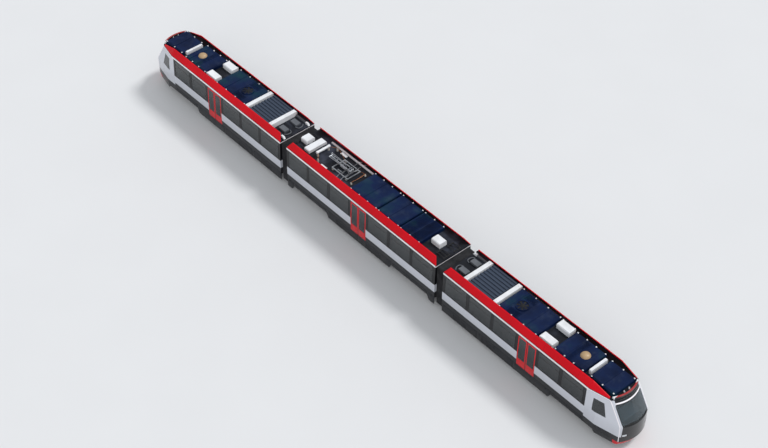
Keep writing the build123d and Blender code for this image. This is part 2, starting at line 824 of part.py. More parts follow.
def gearbox(rear, axle, hole):
    """Casing from the motor's end to the axle, which turns in it."""
    size = motor_size / 2
    outline = [
        (rear, motor_z - size),
        (axle, axle_z - gearbox_radius),
        (axle + gearbox_radius, axle_z),
        (axle, axle_z + gearbox_radius),
        (rear, motor_z + size),
    ]
    casing = prism_y(outline, motor_near_y, gearbox_near_y)
    return casing - bar_y(axle, axle_z, hole, motor_near_y, gearbox_near_y, hole=True)


def panto_bar(x, z, radius, y0, y1, hole=False):
    return bar_y(x, z, radius, y0, y1, panto_sides, hole)


def panto_knee():
    angle = radians(panto_rest)
    return panto_x - panto_arm * cos(angle), panto_shaft_z + panto_arm * sin(angle)


def panto_top():
    return panto_x, panto_shaft_z + 2 * panto_arm * sin(radians(panto_rest))


def panto_tail_point():
    """Where the coupling rod meets the tail of the upper arm."""
    angle = radians(180.0 + panto_rest - panto_tail_turn)
    knee_x, knee_z = panto_knee()
    return knee_x + panto_tail * cos(angle), knee_z + panto_tail * sin(angle)


def panto_rod_foot():
    """The coupling rod's pivot on the base frame."""
    return panto_x + panto_rod_pivot[0], panto_shaft_z + panto_rod_pivot[1]


def panto_base():
    """Base frame on four insulators, with the bearings of the main shaft and the rod."""
    front = panto_x + panto_frame_front
    rear = front - panto_frame_length
    top = panto_shaft_z - panto_frame_drop
    half, beam = panto_frame_half, panto_beam
    low = top - beam
    frame = box(rear, front, half - beam, half, low, top)
    frame += mirror(frame, about=Plane.XZ)
    foot_x, foot_z = panto_rod_foot()
    for x in (rear + beam / 2, foot_x, panto_x, front - beam / 2):
        frame += box(x - beam / 2, x + beam / 2, -half, half, low, top)
    solids = [frame]
    for x in (rear + insulator_inset, front - insulator_inset):
        solids += both_sides([bar_z(x, half - beam / 2, insulator_radius, roof_z, low, panto_sides)])
    lug_far = panto_lug_y + panto_lug
    half = panto_lug_half
    lug = box(panto_x - half, panto_x + half, panto_lug_y, lug_far, top, panto_shaft_z + half)
    lug -= panto_bar(panto_x, panto_shaft_z, panto_journal_radius + panto_play, panto_lug_y, lug_far, True)
    near = panto_rod_y + panto_rod_radius + panto_side_gap
    far = near + panto_post
    half = panto_post_half
    post = box(foot_x - half, foot_x + half, near, far, top, foot_z + panto_post)
    post -= panto_bar(foot_x, foot_z, panto_pin_radius + panto_play, near, far, True)
    return solids + both_sides([lug]) + [post]


def panto_lower_arm():
    """Main shaft and the single lower tube, with a cross tube at the knee."""
    knee_x, knee_z = panto_knee()
    shaft_half = panto_lug_y - panto_side_gap
    journal_half = panto_lug_y + panto_lug
    pin_half = panto_upper_y + panto_eye_half + panto_side_gap
    start, end = (panto_x, 0, panto_shaft_z), (knee_x, 0, knee_z)
    arm = panto_bar(panto_x, panto_shaft_z, panto_shaft_radius, -shaft_half, shaft_half)
    arm += panto_bar(panto_x, panto_shaft_z, panto_journal_radius, -journal_half, journal_half)
    arm += bar_between(start, end, panto_arm_radius, panto_sides)
    arm += panto_bar(knee_x, knee_z, panto_arm_radius, -panto_knee_half, panto_knee_half)
    return [arm + panto_bar(knee_x, knee_z, panto_journal_radius, -pin_half, pin_half)]


def panto_upper_arm():
    """Two slender tubes from the knee to the head, and the tail that the rod holds."""
    knee_x, knee_z = panto_knee()
    top_x, top_z = panto_top()
    tail_x, tail_z = panto_tail_point()
    knee_hole = panto_journal_radius + panto_play
    frame = None
    for y in (-panto_upper_y, panto_upper_y):
        low, high = y - panto_eye_half, y + panto_eye_half
        tube = bar_between((knee_x, y, knee_z), (top_x, y, top_z), panto_tube_radius, panto_sides)
        tube += panto_bar(knee_x, knee_z, panto_knee_eye, low, high)
        tube += panto_bar(top_x, top_z, panto_head_eye, low, high)
        if y > 0:
            tube += bar_between((knee_x, y, knee_z), (tail_x, y, tail_z), panto_tail_radius, panto_sides)
        low, high = low - panto_tube_radius, high + panto_tube_radius
        tube -= panto_bar(knee_x, knee_z, knee_hole, low, high, True)
        tube -= panto_bar(top_x, top_z, panto_pin_radius + panto_play, low, high, True)
        frame = tube if frame is None else frame + tube
    brace_x = knee_x + panto_brace_at * cos(radians(panto_rest))
    brace_z = knee_z + panto_brace_at * sin(radians(panto_rest))
    frame += panto_bar(brace_x, brace_z, panto_brace_radius, -panto_upper_y, panto_upper_y)
    pin_end = panto_rod_y + panto_rod_radius + panto_pin_end
    return [frame + panto_bar(tail_x, tail_z, panto_pin_radius, panto_upper_y, pin_end)]


def panto_rod():
    """Coupling rod beside the lower arm: an eye at the tail's pin and a pin in its post."""
    foot_x, foot_z = panto_rod_foot()
    tail_x, tail_z = panto_tail_point()
    y, half = panto_rod_y, panto_rod_radius
    rod = bar_between((foot_x, y, foot_z), (tail_x, y, tail_z), panto_rod_radius, panto_sides)
    rod += panto_bar(tail_x, tail_z, panto_rod_eye, y - half / 2, y + half / 2)
    rod -= panto_bar(tail_x, tail_z, panto_rod_eye_hole, y - half, y + half, True)
    rod += panto_bar(foot_x, foot_z, panto_pin_radius, y, y + half + panto_post)
    return [max(rod.solids(), key=lambda solid: solid.volume)]


def panto_head():
    """Collector head: two contact strips with sloping horns on a carrier."""
    top_x, top_z = panto_top()
    crown = top_z + panto_crown
    horn_y, horn_z = panto_head_half + panto_horn, crown - panto_horn_drop
    right = [
        (horn_y, horn_z - panto_strip),
        (horn_y, horn_z),
        (panto_head_half, crown),
    ]
    left = [(-y, z) for y, z in reversed(right)]
    under = crown - panto_strip
    outline = right + left + [(-panto_head_half, under), (panto_head_half, under)]
    half, gap = panto_strip / 2, panto_strip_gap / 2
    pin_half = panto_upper_y + panto_eye_half + panto_pin_end
    head = panto_bar(top_x, top_z, panto_pin_radius, -pin_half, pin_half)
    for side in (-1, 1):
        head += prism_x(outline, top_x + side * gap - half, top_x + side * gap + half)
        y, thick = side * panto_carrier_y, panto_carrier / 2
        head += box(top_x - gap, top_x + gap, y - thick, y + thick, top_z - thick, under + panto_pin_end)
    return [head]


def build_nodes():
    nodes = {}
    door_x = pivot_x + door_from_pivot
    door_half = door_width / 2
    end_bogie = nose_x - end_bogie_back
    windows = window_spans(end_body_x, door_x - door_half, 3) + window_spans(door_x + door_half, cab_x, 2)
    panels, panes, leaves = side_panels(end_body_x, cab_x, windows, door_x)
    cab = cab_pieces()
    seats = saloon_seats(
        seat_stations(end_body_x + end_frame, door_x - door_half)
        + seat_stations(door_x + door_half, cab_x - bulkhead)
    )
    end_car = {
        "underframe": end_underframe(),
        "walls": both_sides(panels) + end_frame_solids(end_body_x, end_body_x + end_frame),
        "skirts": both_sides(skirts(end_body_x, cab_x, [end_bogie])),
        "windows": both_sides(panes) + cab["cab_windows"],
        "doors": both_sides(leaves),
        "roof": end_roof(),
        "fairings": both_sides([end_fairing()]),
        "roof_units": roof_boxes(end_car_units, nose_x, -1) + [louvres(louvred_unit), fan_ring()],
        "roof_cases": roof_boxes(end_car_cases, nose_x, -1) + end_caps() + [brow(), aerial_dome()],
        "cab": cab["cab"],
        "windscreen": cab["windscreen"],
        "mask": cab["mask"],
        "bumper": cab["bumper"],
        "lamps": cab["lamps"],
        "interior": seats + cab_interior(),
    }
    for name, solids in end_car.items():
        nodes["front_" + name] = solids
        nodes["rear_" + name] = turned(solids)

    windows = window_spans(-body_end_x, -door_half, 3) + window_spans(door_half, body_end_x, 3)
    bogies = [-middle_bogie_x, middle_bogie_x]
    panels, panes, leaves = side_panels(-body_end_x, body_end_x, windows, 0.0)
    ends = end_frame_solids(body_end_x - end_frame, body_end_x)
    roof = [box(-body_end_x, body_end_x, -cantrail_half_width, cantrail_half_width, cantrail_z, roof_z)]
    half_seats = saloon_seats(seat_stations(door_half, body_end_x - end_frame))
    nodes["middle_underframe"] = middle_underframe()
    nodes["middle_walls"] = both_sides(panels) + ends + turned(ends)
    nodes["middle_skirts"] = both_sides(skirts(-body_end_x, body_end_x, bogies))
    nodes["middle_windows"] = both_sides(panes)
    nodes["middle_doors"] = both_sides(leaves)
    nodes["middle_roof"] = roof
    nodes["middle_fairings"] = both_sides([middle_fairing()])
    nodes["middle_roof_units"] = roof_boxes(middle_units, 0.0, 1)
    nodes["middle_roof_cases"] = roof_boxes(middle_cases, 0.0, 1)
    nodes["middle_seats"] = half_seats + turned(half_seats)

    nodes["front_bellows"] = bellows()
    nodes["rear_bellows"] = turned(nodes["front_bellows"])

    for index, x in enumerate((end_bogie, middle_bogie_x, -middle_bogie_x, -end_bogie), start=1):
        nodes[f"bogie_{index}"] = bogie(x, powered=abs(x) == end_bogie)
        nodes[f"wheelset_{index}a"] = wheelset(x + bogie_wheelbase / 2)
        nodes[f"wheelset_{index}b"] = wheelset(x - bogie_wheelbase / 2)

    nodes["pantograph_base"] = panto_base()
    nodes["pantograph_lower_arm"] = panto_lower_arm()
    nodes["pantograph_upper_arm"] = panto_upper_arm()
    nodes["pantograph_rod"] = panto_rod()
    nodes["pantograph_head"] = panto_head()
    return nodes


os.makedirs("parts", exist_ok=True)
for node_name, node_solids in build_nodes().items():
    shape = node_solids[0] if len(node_solids) == 1 else Compound(node_solids)
    export_step(shape, f"parts/{node_name}.step")
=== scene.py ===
"""Looks of the half-size articulated metro car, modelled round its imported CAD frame."""
import json
import math
from contextlib import contextmanager

import bpy
from mathutils import Matrix, Vector


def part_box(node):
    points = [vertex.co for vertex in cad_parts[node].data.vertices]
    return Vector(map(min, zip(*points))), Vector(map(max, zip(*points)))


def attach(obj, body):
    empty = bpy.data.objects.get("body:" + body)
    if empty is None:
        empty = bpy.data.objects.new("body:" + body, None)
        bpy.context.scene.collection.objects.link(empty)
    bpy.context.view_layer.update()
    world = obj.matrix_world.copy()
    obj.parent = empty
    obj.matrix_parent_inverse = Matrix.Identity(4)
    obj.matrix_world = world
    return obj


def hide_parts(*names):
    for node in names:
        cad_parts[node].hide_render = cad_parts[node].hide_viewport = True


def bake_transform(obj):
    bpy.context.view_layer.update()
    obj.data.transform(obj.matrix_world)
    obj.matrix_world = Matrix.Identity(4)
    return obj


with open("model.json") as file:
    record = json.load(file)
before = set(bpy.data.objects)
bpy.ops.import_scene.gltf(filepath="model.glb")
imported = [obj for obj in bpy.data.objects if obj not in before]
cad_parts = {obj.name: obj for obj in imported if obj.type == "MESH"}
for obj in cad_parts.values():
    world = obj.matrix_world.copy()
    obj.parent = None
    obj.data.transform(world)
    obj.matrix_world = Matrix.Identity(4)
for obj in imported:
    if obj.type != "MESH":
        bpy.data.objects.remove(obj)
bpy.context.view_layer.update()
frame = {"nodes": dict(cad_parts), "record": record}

bl_info = {
    "name": "Metro car looks",
    "version": (1, 0, 0),
    "blender": (4, 5, 0),
    "location": "View3D > Sidebar > Metro car",
    "description": "Paint, glass, roof plant, pantograph, running gear and stage of an articulated metro car",
    "category": "Object",
}

# Places that come from the frame, in metres
nose_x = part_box("front_mask")[1].x
roof_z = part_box("middle_roof")[1].z
roof_edge_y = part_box("middle_roof")[1].y
wall_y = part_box("middle_walls")[1].y
car_end_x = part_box("middle_roof")[1].x
end_car_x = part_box("front_roof")[0].x
rod_low, rod_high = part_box("pantograph_rod")
cab_x = nose_x - 1.25
bogie_places = {"bogie_1": nose_x - 1.65, "bogie_2": 2.15, "bogie_3": -2.15, "bogie_4": 1.65 - nose_x}

# The walls lean in above the waist, and the front slides back above it and below the bumper's top
waist_z = 0.880
cantrail_z = 1.560
bumper_z = 0.330
wall_lean = (wall_y - roof_edge_y) / (cantrail_z - waist_z)
screen_rake = 0.6
bumper_rake = 0.5
front_radius = 0.8645

# The skirts' edges, and the tops of the roof units: over the cab, under the aerial, round the
# cooling fan, over the converters and over the middle car's resistors
skirt_top_z, skirt_foot_z, arch_z = 0.440, 0.150, 0.300
cab_unit_z, aerial_unit_z, cooling_unit_z = 1.696, 1.710, 1.720
converter_z, resistor_z = 1.725, 1.718

# How deep lids and grilles are set into the top of their unit
seating = 0.002

# Openings along one side, as (start, end)
end_car_windows = [(3.585, 4.418), (4.508, 5.342), (5.432, 6.265), (7.095, 7.841), (7.931, 8.677)]
middle_windows = [(0.415, 1.248), (1.338, 2.172), (2.262, 3.095)]
window_heights = (0.905, 1.500)
door_leaf = (0.003, 0.325)
leaf_stile, leaf_rubber = 0.048, 0.011
leaf_glass_heights = (0.700, 1.440)
end_car_door_x = 6.680
panel_joint_places = [0.370, 1.293, 2.217, 4.463, 5.387, 7.886]

# Across the car: the rails' middles, the air springs, the backs of the wheels' rims and the
# outer faces of the brake discs
rail_y, spring_y, rim_y, disc_y = 0.371, 0.450, 0.340, 0.404


def linear(hex_colour):
    """An sRGB colour such as c8102e as linear red, green, blue and alpha."""
    channels = [int(hex_colour[i:i + 2], 16) / 255 for i in (0, 2, 4)]
    channels = [c / 12.92 if c <= 0.04045 else ((c + 0.055) / 1.055) ** 2.4 for c in channels]
    return (*channels, 1.0)


def shade(colour, factor):
    return (*(min(c * factor, 1.0) for c in colour[:3]), 1.0)


def colour_prop(name, description, hex_colour):
    return bpy.props.FloatVectorProperty(
        name=name, description=description, subtype="COLOR", size=4, min=0.0, max=1.0,
        default=linear(hex_colour),
    )


def length_prop(name, description, metres):
    return bpy.props.FloatProperty(
        name=name, description=description, subtype="DISTANCE", unit="LENGTH", default=metres,
    )


class MetroCarColours(bpy.types.PropertyGroup):
    """Paint and trim colours"""

    red: colour_prop("Red", "Doors, bumper and roof-edge fairings", "d60a1c")
    # The cab and waist band are white; this light grey is that white with painted shade in it
    white: colour_prop("White", "Cab and waist band", "c9ccd4")
    black: colour_prop("Black", "Band round the side windows", "0d0e12")
    grey: colour_prop("Grey", "Lower walls and skirts", "14171e")
    line: colour_prop("Line", "Mouldings at the cantrail and down the front corners", "f3eff2")
    roof: colour_prop("Roof", "Coating of the roof deck", "14171f")
    plant: colour_prop("Roof units", "Covers of the roof units", "0a1d42")
    cases: colour_prop("Roof cases", "White cases and bars on the roof", "e3e5e8")
    floor: colour_prop("Floor", "Floor that the car stands on", "d9dadb")


class MetroCarSizes(bpy.types.PropertyGroup):
    """Sizes a user would change"""

    band_foot: length_prop("White band foot", "Lower edge of the white waist band", 0.600)
    band_top: length_prop("White band top", "Upper edge of the white waist band", 0.878)
    line_foot: length_prop("Cantrail line", "Lower edge of the white line at the cantrail", 1.530)
    fold_depth: length_prop("Bellows fold", "Depth of the folds in the gangway bellows", 0.030)
    gasket: length_prop("Window gasket", "Width of the rubber round each window", 0.016)
    conduit: length_prop("Conduit radius", "Radius of the conduits on the roof", 0.011)


def colours():
    return bpy.context.scene.metro_car_colours


def sizes():
    return bpy.context.scene.metro_car_sizes


# Materials

def wire(tree, node, inputs):
    """Sets a node's inputs to values, or links them to sockets or to other nodes' first outputs."""
    for socket, source in inputs.items():
        if isinstance(source, bpy.types.Node):
            source = next(output for output in source.outputs if output.enabled)
        if isinstance(source, bpy.types.NodeSocket):
            tree.links.new(source, node.inputs[socket])
        else:
            node.inputs[socket].default_value = source


def add_node(tree, kind, inputs=None, stops=(), **settings):
    """Adds a node with its inputs, its settings and the stops of its ramp."""
    node = tree.nodes.new("ShaderNode" + kind)
    for key, value in settings.items():
        setattr(node, key, value)
    for i, (place, colour) in enumerate(stops):
        elements = node.color_ramp.elements
        element = elements[i] if i < len(elements) else elements.new(place)
        element.position, element.color = place, colour
    wire(tree, node, inputs or {})
    return node


def cells(size):
    """Scale of a noise whose patches are that many millimetres wide."""
    return 1000 / size


def waves(size):
    """Scale of a wave whose crests are that many millimetres apart: at 1 they are 314 mm apart."""
    return 314 / size


def new_finish(name, **values):
    """A new material: itself, its tree and its object coordinates."""
    material = bpy.data.materials.new(name)
    material.use_nodes = True
    tree = material.node_tree
    constants = {key.replace("_", " ").title().replace("Ior", "IOR"): v for key, v in values.items()}
    wire(tree, tree.nodes["Principled BSDF"], constants)
    return material, tree, add_node(tree, "TexCoord").outputs["Object"]


def surfaced(material, colour, relief, **others):
    """Gives a material its colour, its relief and what else varies over it."""
    tree = material.node_tree
    wire(tree, tree.nodes["Principled BSDF"], {"Base Color": colour, "Normal": relief, **others})
    return material


def level_of(tree, place):
    """How high a point lies."""
    return add_node(tree, "SeparateXYZ", {0: place}).outputs["Z"]


def along_car(tree, place):
    """How far a point lies from the train's middle, towards either end."""
    length = add_node(tree, "SeparateXYZ", {0: place}).outputs["X"]
    return add_node(tree, "Math", {0: length}, operation="ABSOLUTE")


def mottled(tree, place, size, stops, detail=3.0):
    """A colour that drifts through its stops, in patches that many millimetres wide."""
    drift = add_node(tree, "TexNoise", {"Vector": place, "Scale": cells(size), "Detail": detail})
    return add_node(tree, "ValToRGB", {0: drift}, stops=stops)


def banded(tree, measure, bands):
    """Colours that change sharply along a measure. The last place only says where it ends."""
    low, high = bands[0][0], bands[-1][0]
    share = add_node(tree, "MapRange", {0: measure, 1: low, 2: high})
    stops = [((start - low) / (high - low), colour) for start, colour in bands[:-1]]
    ramp = add_node(tree, "ValToRGB", {0: share}, stops=stops)
    ramp.color_ramp.interpolation = "CONSTANT"
    return ramp


def dirtied(tree, place, base, dirt, size, clean, full, least=0.0, most=0.3):
    """A colour with dirt on it, in patches that many millimetres wide."""
    patches = add_node(tree, "TexNoise", {"Vector": place, "Scale": cells(size), "Detail": 8.0})
    share = add_node(tree, "MapRange", {0: patches, 1: clean, 2: full, 3: least, 4: most})
    return add_node(tree, "Mix", {0: share, 6: base, 7: linear(dirt)}, data_type="RGBA")


def track_dust(tree, place, base, low, high, amount):
    """Grey-brown track dust that thins out upwards, in streaks that rain drew down the panel."""
    drawn = add_node(tree, "Mapping", {"Vector": place, "Scale": (1.0, 1.0, 0.12)})
    streaks = add_node(tree, "TexNoise", {"Vector": drawn, "Scale": cells(200), "Detail": 6.0})
    fall = add_node(tree, "MapRange", {0: level_of(tree, place), 1: low, 2: high, 3: amount, 4: 0.0})
    share = add_node(tree, "Math", {0: streaks, 1: fall}, operation="MULTIPLY")
    return add_node(tree, "Mix", {0: share, 6: base, 7: linear("5b5855")}, data_type="RGBA")


def grained(tree, place, size, depth=0.0006, detail=2.0):
    """A fine relief, its grains that many millimetres wide and its depth in metres."""
    grain = add_node(tree, "TexNoise", {"Vector": place, "Scale": cells(size), "Detail": detail})
    return add_node(tree, "Bump", {"Height": grain, "Distance": depth})


def orange_peel(tree, place, size=9):
    """The faint ripple of sprayed enamel, coarser than the real 3 mm so that it shows."""
    return grained(tree, place, size, 0.0004)


def seam_clearance(tree, place, spacing, width):
    """0 in the seams across a car, 1 beside them."""
    length = add_node(tree, "SeparateXYZ", {0: place}).outputs["X"]
    to_seam = add_node(tree, "Math", {0: length, 1: spacing / 2}, operation="PINGPONG")
    return add_node(tree, "MapRange", {0: to_seam, 1: 0.0, 2: width / 2})


def panel_drift(tree, place, colour):
    """The tone of a sprayed colour, which drifts a little from panel to panel."""
    return mottled(tree, place, 1100, [(0.3, shade(colour, 0.88)), (0.7, shade(colour, 1.06))])


def panel_joints(tree, place, base):
    """Dark 3 mm joints between the wall's panels, at the middles of the window posts."""
    bare, dark = (1, 1, 1, 1), (0.02, 0.02, 0.02, 1)
    bands = [(0.0, bare)]
    for joint in panel_joint_places:
        bands += [(joint - 0.0015, dark), (joint + 0.0015, bare)]
    lines = banded(tree, along_car(tree, place), [*bands, (10.0, bare)])
    return add_node(tree, "Mix", {0: 1.0, 6: base, 7: lines}, data_type="RGBA", blend_type="MULTIPLY")


enamel_gloss = {"coat_weight": 0.1, "specular_ior_level": 0.3}


def side_livery():
    # Two-pack enamel on aluminium: glossy bands by height, dull with dust towards the foot
    material, tree, place = new_finish("coach_enamel_livery", roughness=0.28, **enamel_gloss)
    look, size = colours(), sizes()
    # The waist band takes the greyed white, which holds painted shade
    bands = banded(tree, level_of(tree, place), [
        (skirt_top_z, look.grey), (size.band_foot, look.white), (size.band_top, look.black),
        (size.line_foot, look.line), (cantrail_z, look.line),
    ])
    dusted = track_dust(tree, place, panel_joints(tree, place, bands), skirt_top_z, 0.95, 0.3)
    return surfaced(material, dusted, orange_peel(tree, place))


def enamel(name, colour, low, high, amount=0.4, roughness=0.25):
    # Coach enamel in one colour: glossy, its tone drifting a little from panel to panel
    material, tree, place = new_finish(name, roughness=roughness, **enamel_gloss)
    dusted = track_dust(tree, place, panel_drift(tree, place, colour), low, high, amount)
    return surfaced(material, dusted, orange_peel(tree, place))


def door_enamel():
    # Enamelled door leaves: glossy red, with the dull black rubber round their glass and edges
    material, tree, place = new_finish("door_enamel_red", **enamel_gloss)
    near, far = door_leaf
    low, high = leaf_glass_heights
    inner_rubber, outer_rubber = 0.007, 0.006
    half_width = (far - near) / 2 - leaf_stile + leaf_rubber
    half_height = (high - low) / 2 + leaf_rubber
    along, level = along_car(tree, place), level_of(tree, place)
    past = add_node(tree, "Math", {0: along, 1: end_car_door_x}, operation="SUBTRACT")
    across = add_node(tree, "Math", {0: past}, operation="ABSOLUTE")
    from_middle = add_node(tree, "Math", {0: along, 1: across}, operation="MINIMUM")
    beside = add_node(tree, "Math", {0: from_middle, 1: (near + far) / 2, 2: half_width}, operation="COMPARE")
    upright = add_node(tree, "Math", {0: level, 1: (low + high) / 2, 2: half_height}, operation="COMPARE")
    border = add_node(tree, "Math", {0: beside, 1: upright}, operation="MULTIPLY")
    inner_seal = add_node(tree, "Math", {0: from_middle, 1: near + inner_rubber}, operation="LESS_THAN")
    outer_seal = add_node(tree, "Math", {0: from_middle, 1: far - outer_rubber}, operation="GREATER_THAN")
    seals = add_node(tree, "Math", {0: inner_seal, 1: outer_seal}, operation="MAXIMUM")
    dark = add_node(tree, "Math", {0: seals, 1: border}, operation="MAXIMUM")
    tone = add_node(tree, "Mix", {0: dark, 6: colours().red, 7: linear("101114")}, data_type="RGBA")
    dull = add_node(tree, "MapRange", {0: dark, 3: 0.2, 4: 0.6})
    dusted = track_dust(tree, place, tone, skirt_top_z, 1.1, 0.35)
    return surfaced(material, dusted, orange_peel(tree, place), Roughness=dull)


def fairing_enamel():
    # Enamelled roof-edge fairings: glossy red with dark 4 mm joints, 1.2 m apart
    material, tree, place = new_finish("fairing_enamel_red", roughness=0.3, specular_ior_level=0.15)
    beside = seam_clearance(tree, place, 1.2, 0.004)
    tone = panel_drift(tree, place, colours().red)
    parted = add_node(tree, "Mix", {0: beside, 6: linear("2a0508"), 7: tone}, data_type="RGBA")
    dusted = dirtied(tree, place, parted, "6a1a1c", 250, 0.55, 0.85)
    return surfaced(material, dusted, orange_peel(tree, place))


def cab_enamel():
    # Enamel on the moulded cab: white greyed by painted shade; the skirts' grey below the bumper's line
    material, tree, place = new_finish(
        "cab_enamel_shaded_white", roughness=0.22, coat_weight=0.1, specular_ior_level=0.35)
    look, grey_top_z = colours(), 0.52
    bands = [(skirt_top_z, look.grey), (grey_top_z, look.white), (0.60, look.white)]
    dusted = track_dust(tree, place, banded(tree, level_of(tree, place), bands), 0.25, 1.0, 0.4)
    return surfaced(material, dusted, orange_peel(tree, place, 11))


def deck_coating():
    # Grit-coated roof deck: matt, patchy with dried puddles and dust, a lap seam at each metre
    material, tree, place = new_finish("roof_deck_coating", roughness=0.82, specular_ior_level=0.3)
    roof = colours().roof
    puddles = [(0.35, shade(roof, 0.7)), (0.52, roof), (0.72, linear("3a3f4c"))]
    base = mottled(tree, place, 625, puddles, 8.0)
    beside = seam_clearance(tree, place, 1.0, 0.012)
    seamed = add_node(tree, "Mix", {0: beside, 6: linear("06070a"), 7: base}, data_type="RGBA")
    grit = add_node(tree, "TexNoise", {"Vector": place, "Scale": cells(5.5), "Detail": 2.0})
    raised = add_node(tree, "Math", {0: grit, 1: 0.3, 2: beside}, operation="MULTIPLY_ADD")
    return surfaced(material, seamed, add_node(tree, "Bump", {"Height": raised, "Distance": 0.003}))


def unit_coat():
    # Powder-coated covers of the roof units: navy with teal drifts; the resistors' louvred cover,
    # between its two bars, has faded to blue-grey
    material, tree, place = new_finish("powder_coat_navy", roughness=0.55, specular_ior_level=0.12)
    navy = colours().plant
    drifts = [(0.35, shade(navy, 0.6)), (0.52, navy), (0.70, linear("0e333f"))]
    tone = mottled(tree, place, 770, drifts, 6.0)
    cover_x, half_length = nose_x - 5.31, 0.452
    along = along_car(tree, place)
    louvred = add_node(tree, "Math", {0: along, 1: cover_x, 2: half_length}, operation="COMPARE")
    faded = add_node(tree, "Mix", {0: louvred, 6: tone, 7: linear("3d4655")}, data_type="RGBA")
    dusted = dirtied(tree, place, faded, "3a4656", 200, 0.52, 0.8)
    return surfaced(material, dusted, grained(tree, place, 4.5))


def case_coat():
    # Powder-coated white cases and bars. The lip over the cab is dark, with its top edge red.
    material, tree, place = new_finish("powder_coat_white", roughness=0.45)
    lip_x, lip_top_z = nose_x - 0.52, roof_z + 0.058
    along, level = along_car(tree, place), level_of(tree, place)
    on_lip = add_node(tree, "Math", {0: along, 1: lip_x}, operation="GREATER_THAN")
    at_top = add_node(tree, "Math", {0: level, 1: lip_top_z}, operation="GREATER_THAN")
    lip = add_node(tree, "Mix", {0: at_top, 6: linear("101217"), 7: linear("a01c20")}, data_type="RGBA")
    tone = add_node(tree, "Mix", {0: on_lip, 6: colours().cases, 7: lip}, data_type="RGBA")
    dusted = dirtied(tree, place, tone, "8f8d88", 310, 0.45, 0.78)
    return surfaced(material, dusted, grained(tree, place, 4.5))


def interior_plastic():
    # Moulded plastic: navy seat shells in the saloon, pale grey desk and bulkhead in the cab
    material, tree, place = new_finish("moulded_interior_plastic", roughness=0.45)
    along = along_car(tree, place)
    in_cab = add_node(tree, "Math", {0: along, 1: cab_x - 0.06}, operation="GREATER_THAN")
    tone = add_node(tree, "Mix", {0: in_cab, 6: linear("22305a"), 7: linear("9aa1a6")}, data_type="RGBA")
    return surfaced(material, tone, grained(tree, place, 8))


def tinted_glass(name, colour, transmission):
    # Tinted safety glass: see-through, with the slight wave of the rollers and a dull film of rain
    material, tree, place = new_finish(name, ior=1.52, transmission_weight=transmission)
    wave = add_node(tree, "TexNoise", {"Vector": place, "Scale": cells(285), "Detail": 1.0})
    rain = add_node(tree, "MapRange", {0: wave, 1: 0.3, 2: 0.7, 3: 0.03, 4: 0.09})
    bump = add_node(tree, "Bump", {"Height": wave, "Distance": 0.002, "Strength": 0.25})
    return surfaced(material, linear(colour), bump, Roughness=rain)


def front_gelcoat():
    # Gel-coated glass-fibre front: deep black gloss, with the 4 mm gap round the coupler's hatch
    material, tree, place = new_finish("gelcoat_black", roughness=0.15, coat_weight=0.2)
    black = linear("0b0c0f")
    hatch_z, half_width, half_height = 0.43, 0.15, 0.07
    tone = mottled(tree, place, 165, [(0.3, shade(black, 0.8)), (0.7, shade(black, 1.3))])
    width = add_node(tree, "SeparateXYZ", {0: place}).outputs["Y"]
    side = add_node(tree, "Math", {0: width}, operation="ABSOLUTE")
    outside = add_node(tree, "Math", {0: side, 1: half_width}, operation="SUBTRACT")
    above = add_node(tree, "Math", {0: level_of(tree, place), 1: hatch_z}, operation="SUBTRACT")
    height = add_node(tree, "Math", {0: above}, operation="ABSOLUTE")
    beyond = add_node(tree, "Math", {0: height, 1: half_height}, operation="SUBTRACT")
    edge = add_node(tree, "Math", {0: outside, 1: beyond}, operation="MAXIMUM")
    gap = add_node(tree, "Math", {0: edge, 1: 0.0, 2: 0.002}, operation="COMPARE")
    hatched = add_node(tree, "Mix", {0: gap, 6: tone, 7: linear("3b3e45")}, data_type="RGBA")
    dusted = track_dust(tree, place, hatched, 0.25, 0.6, 0.25)
    return surfaced(material, dusted, orange_peel(tree, place, 16))


def lamp_cover():
    # Clear polycarbonate over a silvered housing: bright, with the flutes moulded on its back
    material, tree, place = new_finish("lamp_polycarbonate", roughness=0.08, ior=1.58)
    flutes = add_node(tree, "TexWave", {"Vector": place, "Scale": waves(17)}, bands_direction="Y")
    tone = add_node(tree, "ValToRGB", {0: flutes}, stops=[(0.1, linear("8d949c")), (0.7, linear("e9ecef"))])
    return surfaced(material, tone, add_node(tree, "Bump", {"Height": flutes, "Distance": 0.002}))


def dusty_steel(name, colour, dust, amount=0.8, roughness=0.6):
    # Painted or cast iron and steel under a car: brake and track dust lies in patches over it
    material, tree, place = new_finish(name, roughness=roughness)
    dusted = dirtied(tree, place, linear(colour), dust, 140, 0.35, 0.8, 0.1, amount)
    return surfaced(material, dusted, grained(tree, place, 11, 0.002, 5.0))


def worn_metal(name, light, dark, roughness, size=33):
    # Bare, anodised or oxidised metal, uneven and scuffed
    material, tree, place = new_finish(name, roughness=roughness, metallic=1.0)
    tone = mottled(tree, place, size, [(0.35, linear(dark)), (0.65, linear(light))], 5.0)
    return surfaced(material, tone, grained(tree, place, size, detail=5.0))


def tread_steel():
    # Tread ground bright by the rail: fine rings lie along the way that it rolls
    material, tree, place = new_finish("running_tread_steel", roughness=0.28, metallic=1.0)
    across = add_node(tree, "Mapping", {"Vector": place, "Scale": (0.02, 1.0, 0.02)})
    tone = mottled(tree, across, 1.7, [(0.3, linear("9a9794")), (0.7, linear("cfcdc9"))], 2.0)
    return surfaced(material, tone, grained(tree, across, 1.7, 0.0003))


def bellows_cloth():
    # Silicone-coated woven cloth: matt black, in dusty patches. Its threads are drawn
    # 8 mm apart, coarser than the real ones, so that they show.
    material, tree, place = new_finish("coated_bellows_cloth", roughness=0.85)
    tone = mottled(tree, place, 250, [(0.4, linear("15161a")), (0.8, linear("3a3a3d"))], 6.0)
    weft = add_node(tree, "TexWave", {"Vector": place, "Scale": waves(8)}, bands_direction="Z")
    bump = add_node(tree, "Bump", {"Height": weft, "Distance": 0.001, "Strength": 0.5})
    return surfaced(material, tone, bump)


